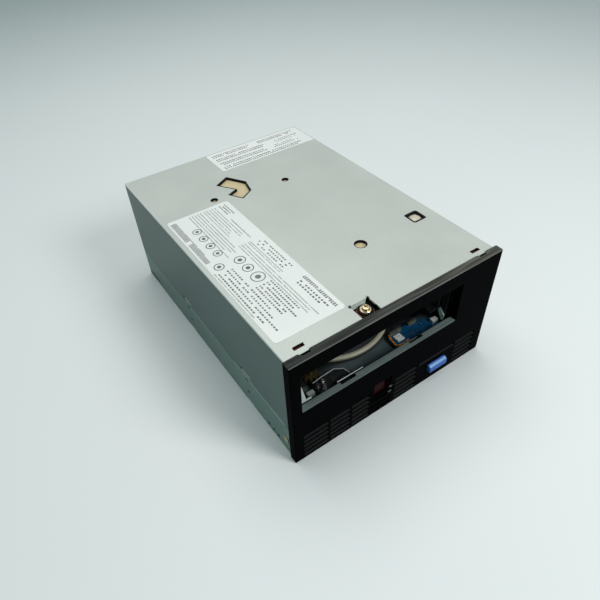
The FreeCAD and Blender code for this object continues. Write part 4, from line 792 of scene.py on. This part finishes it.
labels = {
    "coverLabel": {"x": (-70.0, -26.0), "behind": (12.5, 140.5), "radius": 2.0},
    "rearLabel": {"x": (-9.0, 71.5), "behind": (176.5, 204.5), "radius": 1.5},
    "thick": 0.08, "ink": 0.03, "dash": 0.8,  # a dash's length as a share of its pitch
    # x of the first row, nearest end, far end, rows, row pitch, dash pitch, stroke, fill, ragged
    "coverRows": ((-65.2, 90.0, 137.0, 1, 1.0, 1.1, 0.6, 0.9, 0.2),
                  (-68.8, 20.0, 78.0, 1, 1.0, 0.9, 0.55, 0.97, 0.3),
                  (-66.9, 15.0, 76.0, 4, 2.75, 2.2, 1.0, 0.88, 0.3),
                  (-55.7, 14.5, 54.0, 5, 2.35, 1.9, 1.0, 0.93, 0.35),
                  (-55.2, 84.0, 138.0, 5, 1.95, 0.9, 0.55, 0.97, 0.25),
                  (-44.6, 15.0, 92.0, 3, 1.9, 0.85, 0.55, 0.97, 0.2),
                  (-44.8, 98.0, 138.0, 5, 1.95, 0.9, 0.55, 0.97, 0.35),
                  (-38.4, 54.0, 92.0, 2, 1.5, 0.9, 0.55, 0.97, 0.2),
                  (-34.6, 54.0, 90.0, 3, 2.4, 2.2, 0.9, 0.8, 0.25),
                  (-35.4, 16.0, 44.0, 2, 2.2, 2.4, 1.1, 0.85, 0.15),
                  (-30.2, 14.0, 46.0, 2, 1.1, 1.6, 0.9, 0.97, 0.05),
                  (-34.6, 92.0, 120.0, 1, 1.0, 1.0, 0.7, 0.97, 0.2),
                  (-33.5, 122.0, 138.0, 3, 1.9, 1.7, 0.9, 0.95, 0.2)),
    "coverSeed": 11,
    # bars: x, near and far end; each bar's length, width and pitch
    "coverBars": ((-67.2, 88.5, 111.0), (-67.2, 114.5, 137.5)), "bar": (3.2, 0.6, 1.15),
    # x and near side of the square round a ring, and its width; the line's width, the dot's share
    "coverRings": ((-66.8, 78.5, 6.4), (-61.2, 90.5, 6.0), (-61.2, 99.5, 6.0), (-61.2, 108.5, 6.0),
                   (-61.2, 117.5, 6.0), (-54.6, 56.5, 8.8), (-54.2, 67.5, 7.0), (-54.4, 76.5, 7.2)),
    "line": 0.6, "dot": 0.2,
    # double rows: x of the near end, far end, how far behind, stroke, fill
    "rearRows": ((-6.0, 66.0, 178.8, 1.5, 0.97),
                 (-6.0, 36.0, 185.2, 1.5, 0.97), (40.0, 67.0, 185.2, 1.1, 0.8),
                 (-6.0, 42.0, 191.8, 1.5, 0.97), (46.0, 68.0, 191.8, 1.1, 0.8),
                 (-6.0, 28.0, 198.4, 1.5, 0.97), (33.0, 68.0, 198.4, 1.5, 0.97)),
    "rearPitch": 1.9, "rearGap": 2.3, "rearRagged": 0.15, "rearSeed": 41,
}


def makeLabels():
    for name in ("coverLabel", "rearLabel"):
        size = labels[name]
        x0, x1 = (x * mm for x in size["x"])
        y0, y1 = (behind(d) for d in size["behind"])
        bm = bmesh.new()
        prism(bm, roundedPlan(x0, x1, y0, y1, size["radius"] * mm), caseTop, caseTop + labels["thick"] * mm)
        finishPiece(name, bm, "labelPaper")


def dashes(tree, place, rows, rowPitch, length, pitch, stroke, fill, ragged, seed):
    size = (stroke * mm, pitch * labels["dash"] * mm, labels["ink"] * mm)
    return tree.mesh(Place=place, Rows=rows, Cells=max(2, round(length / pitch)), RowPitch=rowPitch * mm,
                     CellPitch=pitch * mm, Size=size, Fill=fill, Ragged=ragged, Seed=seed)


def makePrint():
    tree, bars = dashTree("dashRows", "printInk"), blockTree("barRows", "printInk")
    low = caseTop + labels["thick"] * mm
    high = low + labels["ink"] * mm
    level = (low + high) / 2
    bm = bmesh.new()
    for seed, row in enumerate(labels["coverRows"], labels["coverSeed"]):
        x, near, far, rows, rowPitch, pitch, stroke, fill, ragged = row
        place = ((x + (rows - 1) * rowPitch / 2) * mm, behind((near + far) / 2), level)
        addMesh(bm, dashes(tree, place, rows, rowPitch, far - near, pitch, stroke, fill, ragged, seed))
    for x, near, wide in labels["coverRings"]:
        middle = ((x + wide / 2) * mm, behind(near + wide / 2))
        band(bm, ring(middle, wide / 2 * mm), ring(middle, (wide / 2 - labels["line"]) * mm), low, high)
        prism(bm, ring(middle, wide * labels["dot"] * mm, 16), low, high)
    length, width, pitch = labels["bar"]
    for x, near, far in labels["coverBars"]:
        place = (x * mm, behind((near + far) / 2), level)
        addMesh(bm, bars.mesh(Place=place, Columns=1, Rows=round((far - near) / pitch),
                              Pitch=(mm, pitch * mm, 0), Size=(length * mm, width * mm, labels["ink"] * mm)))
    finishPiece("coverPrint", bm, "printInk")
    bm = bmesh.new()
    seed = labels["rearSeed"]
    for near, far, away, stroke, fill in labels["rearRows"]:
        for row in range(2):
            made = dashes(tree, (0, 0, 0), 1, 1.0, far - near, labels["rearPitch"], stroke * labels["dash"],
                          fill, labels["rearRagged"], seed)
            place = ((near + far) / 2 * mm, behind(away + row * labels["rearGap"]), level)
            made.transform(Matrix.Translation(place) @ Matrix.Rotation(math.radians(90), 4, "Z"))
            addMesh(bm, made)
            seed += 1
    finishPiece("rearPrint", bm, "printInk")


makeLabels()
makePrint()
print("labels made")


# dark rings and sheets as painted shade in the cover's openings, with what shows through them

coverSizes = {
    # x, how far behind, radius; the window's corners; the square's sides and corner radius
    "holes": ((-32.4, 146.5, 2.65), (19.8, 139.2, 2.6), (14.0, 49.3, 4.1)), "holeWall": 0.55,
    "window": ((-22.7, 162.3), (-14.6, 149.7), (-21.9, 146.5), (-15.8, 136.1), (-6.0, 142.0),
               (-3.1, 154.4), (-11.3, 168.5)), "windowWall": 0.9,
    "square": (53.8, 64.2, 45.4, 55.8), "squareRadius": 1.6, "squareWall": 1.3,
    "gap": 0.03, "shadeRing": (80.85, 82.47),
}
# place, radius, edge, crown and its share of the radius
domeSizes = {"place": (59.0, 50.6, 80.8), "radius": 4.0, "edge": 0.25, "crown": 1.2, "share": 0.94,
             "tip": 0.01}
springSizes = {
    # the comb under a front slot: x, depth, height, strips, a strip's share; the bar that joins them
    "x": (58.0, 67.4), "behind": (3.2, 6.9), "z": (79.6, 80.3), "strips": 6, "share": 0.86,
    "barX": (57.4, 67.8), "barBehind": (3.4, 6.7), "barZ": (79.1, 79.6),
    "notch": (-17.5, 7.0), "washer": (4.75, 4.5), "washerZ": (78.5, 78.7),  # round the notch's screw
}
# dark sheets as painted shade in the front slots and the screw notch
shadeSheetSizes = {
    "x": (57.0, 68.4), "behind": (6.95, 12.0), "z": (78.6, 79.0),  # behind the comb
    "lipX": (58.3, 64.7), "lipBehind": (5.2, 5.75), "lipZ": (82.45, 82.53),  # the far lip of a front slot
    "washer": (5.6, 4.3), "far": 12.4, "notchZ": (78.05, 78.5),  # round the screw in the notch
    "flaps": ((-25.4, -23.05), (-11.95, -9.4)), "near": 0.7,
}
# radius and height of the screw in the notch, from its washer face up and down into its recess
screwProfile = ((3.0, 0.0), (3.15, 0.15), (3.15, 0.5), (2.95, 0.65), (2.25, 0.66), (2.25, 1.5), (2.15, 1.85),
                (1.9, 2.15), (1.75, 2.22), (1.4, 2.22, cross), (1.2, 1.3, cross))
screwFoot = 79.6


def makeShadeRings():
    size = coverSizes
    low, high = (z * mm for z in size["shadeRing"])
    # painted shade: dark rings under the cover darken each opening's walls and rims
    bm = bmesh.new()
    for x, away, radius in size["holes"]:
        middle = (x * mm, behind(away))
        outer, inner = (ring(middle, (radius - gap) * mm) for gap in (size["gap"], size["holeWall"]))
        band(bm, outer, inner, low, high)
    x0, x1, d0, d1 = size["square"]
    corners = [(x * mm, behind(d)) for x, d in size["window"]]
    rounded = roundedPlan(x0 * mm, x1 * mm, behind(d0), behind(d1), size["squareRadius"] * mm)
    for outline, thick in ((corners, size["windowWall"]), (rounded, size["squareWall"])):
        band(bm, inset(outline, size["gap"] * mm), inset(outline, thick * mm), low, high)
    finishPiece("openingShadeRings", bm, "softRubber", 40)


def makeDome():
    size = domeSizes
    profile = [(size["radius"], 0.0), (size["radius"], size["edge"])]
    for step in range(1, 7):
        turn = math.radians(15 * step)
        profile.append((size["radius"] * size["share"] * math.cos(turn) + size["tip"],
                        size["edge"] + size["crown"] * math.sin(turn)))
    bm = bmesh.new()
    turned(bm, size["place"], profile)
    finishPiece("coverDome", bm, "domePlastic", 50)


def makeSprings():
    size = springSizes
    left, right = size["x"]
    pitch = (right - left) / size["strips"]
    bm = bmesh.new()
    for step in range(size["strips"]):
        x = left + pitch * step
        pair(bm, (x, x + pitch * size["share"]), size["behind"], size["z"])
    pair(bm, size["barX"], size["barBehind"], size["barZ"])
    middle = (size["notch"][0] * mm, behind(size["notch"][1]))
    outer, inner = (ring(middle, radius * mm) for radius in size["washer"])
    band(bm, outer, inner, *(z * mm for z in size["washerZ"]))
    finishPiece("coverSprings", bm, "copper")


def makeShadeSheets():
    size = shadeSheetSizes
    bm = bmesh.new()
    # painted shade: dark sheets behind the combs, on the slots' far lips, round the notch's screw and along
    # the notch's sides
    pair(bm, size["x"], size["behind"], size["z"])
    pair(bm, size["lipX"], size["lipBehind"], size["lipZ"])
    middle = (springSizes["notch"][0] * mm, behind(springSizes["notch"][1]))
    outer, inner = size["washer"]
    outline = [(x, min(y, behind(size["far"]))) for x, y in ring(middle, outer * mm, shape=square)]
    band(bm, outline, ring(middle, inner * mm), *(z * mm for z in size["notchZ"]))
    for across in size["flaps"]:
        plate(bm, across, (size["near"], size["far"]), size["notchZ"])
    finishPiece("coverShadeSheets", bm, "softRubber")


def makeCoverScrew():
    bm = bmesh.new()
    turned(bm, (*springSizes["notch"], screwFoot), screwProfile, 48)
    screw = finishPiece("coverScrewHead", bm, "yellowZinc", 30)
    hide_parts("cover_screw")


makeShadeRings()
makeDome()
makeSprings()
makeShadeSheets()
makeCoverScrew()
print("cover openings lined")


# case sides: pale strips as painted highlights on the seam edges, feet and clips

sideSizes = {
    "x": (72.73, 73.17),
    "seam": ((5.3, 20.8, 24.35, 24.8), (20.8, 63.0, 24.35, 24.55), (74.0, 122.0, 24.35, 24.5)),
    "feet": ((42.7, 49.2), (123.0, 132.5)), "feetZ": (0.3, 1.3),
    "clipX": (73.05, 73.3), "clip": ((7.3, 7.9), (6.6, 8.2), (3.0, 7.2), (2.5, 6.7)), "clipDeep": 0.6,
}


def makeSides():
    size = sideSizes
    bm = bmesh.new()
    # painted highlights: pale strips along the seam and at the feet, and clip shaped strips near the front
    for near, far, low, high in size["seam"]:
        pair(bm, size["x"], (near, far), (low, high))
    for span in size["feet"]:
        pair(bm, size["x"], span, size["feetZ"])
    finishPiece("seamHighlights", bm, "brightEdge")
    bm = bmesh.new()
    for side in (1, -1):
        across = [side * x for x in size["clipX"]]
        for (near, first), (far, second) in zip(size["clip"], size["clip"][1:]):
            outline = ((near, first), (far, second), (far, second - size["clipDeep"]),
                       (near, first - size["clipDeep"]))
            slab(bm, outline, across)
    finishPiece("sideClips", bm, "brightEdge")


makeSides()
print("case sides trimmed")


# what shows in the cartridge slot

sensorSizes = {
    "rim": ((-50.6, 9.85), (-43.9, 10.7), (-35.0, 11.05), (-30.25, 8.0), (-29.2, 2.6)),
    "rimWidth": 0.42, "rimZ": (39.9, 40.1),
    "knobs": ((-46.5, 4.0, 1.0), (-45.7, 7.2, 1.1), (-48.6, 2.3, 0.8)), "knobFoot": 41.25,
    # share of the knob's radius, height and perhaps the shape of its recess
    "knobProfile": ((1.0, 0.0), (1.0, 0.15), (0.8, 0.4), (0.5, 0.4, lobes), (0.4, 0.15, lobes)),
    "chips": (((-41.5, -37.6), (4.2, 8.6), (39.9, 40.25)), ((-40.8, -38.3), (5.0, 7.8), (40.25, 40.7)),
              ((-36.2, -34.9), (3.6, 4.6), (39.9, 40.4)), ((-33.8, -32.5), (3.6, 4.6), (39.9, 40.4))),
}
boardSizes = {
    "flex": ((8.2, 13.2), (6.9, 9.5), (6.2, 4.4), (7.4, 3.4), (11.0, 3.0), (15.9, 3.4)),
    "flexWidth": 1.15, "flexZ": (38.0, 38.35), "level": 38.3,
    # a connector's x and depth, with leads along both of its long sides
    "strips": ((8.5, 17.5, 12.3, 13.6), (23.1, 29.9, 12.1, 13.4)),
    "leadPitch": 0.7, "leadOut": 0.35, "lead": (0.3, 0.9, 0.3),
    # x and depth of a group's middle, columns, rows, pitch
    "chips": ((19.5, 6.2, 4, 3, 1.9), (28.0, 5.6, 4, 2, 2.4), (32.0, 10.0, 3, 2, 2.6)),
    "chip": (1.0, 0.6, 0.4),
}


def makeSensorTrim():
    size = sensorSizes
    bm = bmesh.new()
    # painted highlight: a pale strip along the sensor cover's rim
    ribbon(bm, size["rim"], size["rimWidth"], *size["rimZ"])
    finishPiece("sensorRimHighlight", bm, "brightEdge")
    bm = bmesh.new()
    for x, away, radius in size["knobs"]:
        profile = [(radius * share, *rest) for share, *rest in size["knobProfile"]]
        turned(bm, (x, away, size["knobFoot"]), profile, 24)
    finishPiece("sensorScrews", bm, "mirrorSteel", 30)
    bm = bmesh.new()
    for chip in size["chips"]:
        plate(bm, *chip)
    finishPiece("sensorChips", bm, "chipBlack")


def layBlocks(bm, tree, x, away, columns, count, pitch, size):
    place = (x * mm, behind(away), boardSizes["level"] * mm)
    addMesh(bm, tree.mesh(Place=place, Columns=columns, Rows=count, Pitch=(pitch * mm, pitch * mm, 0),
                          Size=[v * mm for v in size]))


def makeBoardTrim():
    size = boardSizes
    bm = bmesh.new()
    ribbon(bm, size["flex"], size["flexWidth"], *size["flexZ"])
    finishPiece("boardFlex", bm, "flexFilm")
    tree = blockTree("pinRows", "brightSteel")
    pitch = size["leadPitch"]
    bm = bmesh.new()
    for x0, x1, near, far in size["strips"]:
        for away in (near - size["leadOut"], far + size["leadOut"]):
            layBlocks(bm, tree, (x0 + x1) / 2, away, int((x1 - x0) / pitch), 1, pitch, size["lead"])
    finishPiece("boardLeads", bm, "brightSteel")
    tree = blockTree("chipRows", "chipBlack")
    bm = bmesh.new()
    for x, away, columns, count, pitch in size["chips"]:
        layBlocks(bm, tree, x, away, columns, count, pitch, size["chip"])
    finishPiece("boardChips", bm, "chipBlack")


makeSensorTrim()
makeBoardTrim()
print("slot trimmed")


# the eject button, and the lamps beside the display

buttonSizes = {
    "x": (26.2, 40.8), "soften": 0.25,
    # depth and height from the back underneath, round the face and up the slope, to the back on top
    "profile": ((-3.0, 9.8), (-7.58, 9.8), (-7.98, 10.2), (-7.98, 13.85), (-7.83, 14.084),
                (-6.18, 15.1), (-5.98, 15.2), (-3.0, 15.2)), "slope": (4, 5),
    # ribs across the slope: the margin at each end, width as a share of the pitch, length, thickness
    "ribs": 12, "ribEdge": 0.5, "ribWidth": 0.6, "ribLong": 1.53, "ribThick": 0.4,
    "ribMiddle": (-6.972, 14.534),
}
lampSizes = {"lamps": ((-4.9, 18.3), (-5.3, 13.9)), "face": -5.4, "lens": (1.5, 0.35, 0.7)}


def makeButton():
    size = buttonSizes
    bm = bmesh.new()
    slab(bm, size["profile"], size["x"])
    outlines = [e for e in bm.edges if abs(e.verts[0].co.x - e.verts[1].co.x) < 1e-6]
    bmesh.ops.bevel(bm, geom=outlines, offset=size["soften"] * mm, segments=2, affect="EDGES")
    button = finishPiece("ejectCap", bm, "buttonBlue", 35, "eject_button")
    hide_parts("eject_button")
    # painted highlight: the ribs across the slope take a pale copy of the button's blue
    bm = bmesh.new()
    left, right = size["x"]
    pitch = (right - left - 2 * size["ribEdge"]) / size["ribs"]
    (near, low), (far, high) = (size["profile"][i] for i in size["slope"])
    tilt = Matrix.Rotation(math.atan2(high - low, far - near), 3, "X")
    rib = [v * mm for v in (pitch * size["ribWidth"], size["ribLong"], size["ribThick"])]
    away, level = size["ribMiddle"]
    for step in range(size["ribs"]):
        x = (left + size["ribEdge"] + pitch * (step + 0.5)) * mm
        made = bmesh.ops.create_cube(bm, size=1.0)["verts"]
        bmesh.ops.scale(bm, vec=rib, verts=made)
        bmesh.ops.rotate(bm, cent=(0, 0, 0), matrix=tilt, verts=made)
        bmesh.ops.translate(bm, vec=(x, behind(away), level * mm), verts=made)
    finishPiece("ejectRibs", bm, "buttonPale", body="eject_button")


def makeLampLenses():
    bm = bmesh.new()
    for x, z in lampSizes["lamps"]:
        made = bmesh.ops.create_uvsphere(bm, u_segments=20, v_segments=10, radius=1.0)["verts"]
        bmesh.ops.scale(bm, vec=[v * mm for v in lampSizes["lens"]], verts=made)
        bmesh.ops.translate(bm, vec=(x * mm, behind(lampSizes["face"]), z * mm), verts=made)
    lenses = finishPiece("lampLenses", bm, "lensGrey", 60)
    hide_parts("light_pipes")


makeButton()
makeLampLenses()
print("bezel parts made")


# stage, lamps and camera

stageSizes = {"floor": 1.6, "drop": 0.00005}
cameraSizes = {"place": (-0.1519, -0.2270, 0.2721), "azimuth": -32.63, "elevation": 43.02, "roll": -3.07,
               "lens": 31.556, "sensor": 36.0, "near": 0.01}
# place, aim, size, power, colour
lamps = {"keyLamp": ((0.04, 0.22, 0.95), (0, 0, 0.06), 0.95, 5.4, (1.0, 0.995, 0.98)),
         "frontLamp": ((0.30, -0.72, 0.72), (0, -0.09, 0.05), 0.4, 5.0, (1.0, 1.0, 0.99))}
worldTones = {"light": ((168, 208, 206), 0.34), "seen": ((226, 228, 230), 0.9)}


def seenClean(net):
    # 1 for rays that the camera, mirrors and glass send, so that they meet a clean background
    path = net.tree.nodes.new("ShaderNodeLightPath")
    rays = [Value(net, path.outputs[f"Is {kind} Ray"]) for kind in ("Camera", "Glossy", "Transmission")]
    return sum(rays[1:], rays[0]).clamped()


def makeStage():
    bm = bmesh.new()
    bmesh.ops.create_grid(bm, x_segments=1, y_segments=1, size=stageSizes["floor"])
    mesh = bpy.data.meshes.new("floor")
    bm.to_mesh(mesh)
    bm.free()
    floor = addObject("floor", mesh)
    floor.location.z = cadBox[0].z - stageSizes["drop"]
    paper = Finish("floorPaper", Roughness=0.9, Specular_IOR_Level=0.1)
    pale = paper.blend(paper.noise(0.3, 2.0), (232, 233, 234), (237, 238, 239))
    paper.feed(paper.blend(seenClean(paper), (104, 112, 112), pale))
    mesh.materials.append(finishes["floorPaper"])


def makeWorld():
    world = bpy.data.worlds.new("studio")
    bpy.context.scene.world = world
    world.use_nodes = True
    net = Net(world.node_tree)
    net.tree.nodes.clear()
    light, seen = (net.node("ShaderNodeBackground", {}, {"Color": shade(*colour), "Strength": strength})
                   for colour, strength in worldTones.values())
    mixed = net.node("ShaderNodeMixShader", {}, {0: seenClean(net), 1: light, 2: seen})
    net.node("ShaderNodeOutputWorld", {}, {0: mixed})


def makeLamp(name, place, aim, size, power, colour):
    lamp = bpy.data.lights.new(name, "AREA")
    lamp.shape = "DISK"
    lamp.size = size
    lamp.energy = power
    lamp.color = colour
    holder = addObject(name, lamp)
    holder.location = place
    holder.rotation_euler = (Vector(aim) - Vector(place)).to_track_quat("-Z", "Y").to_euler()


def makeCamera():
    size = cameraSizes
    data = bpy.data.cameras.new("camera")
    data.lens = size["lens"]
    data.sensor_width = size["sensor"]
    data.clip_start = size["near"]
    camera = addObject("camera", data)
    camera.location = size["place"]
    azimuth, elevation = math.radians(size["azimuth"]), math.radians(size["elevation"])
    back = Vector((math.sin(azimuth) * math.cos(elevation),
                   -math.cos(azimuth) * math.cos(elevation), math.sin(elevation)))
    aim = (-back).to_track_quat("-Z", "Y").to_matrix()
    camera.rotation_euler = (aim @ Matrix.Rotation(math.radians(size["roll"]), 3, "Z")).to_euler()
    bpy.context.scene.camera = camera


makeStage()
makeWorld()
for name, setting in lamps.items():
    makeLamp(name, *setting)
makeCamera()
bpy.context.scene.view_settings.view_transform = "Standard"
print("stage, lamps and camera set")
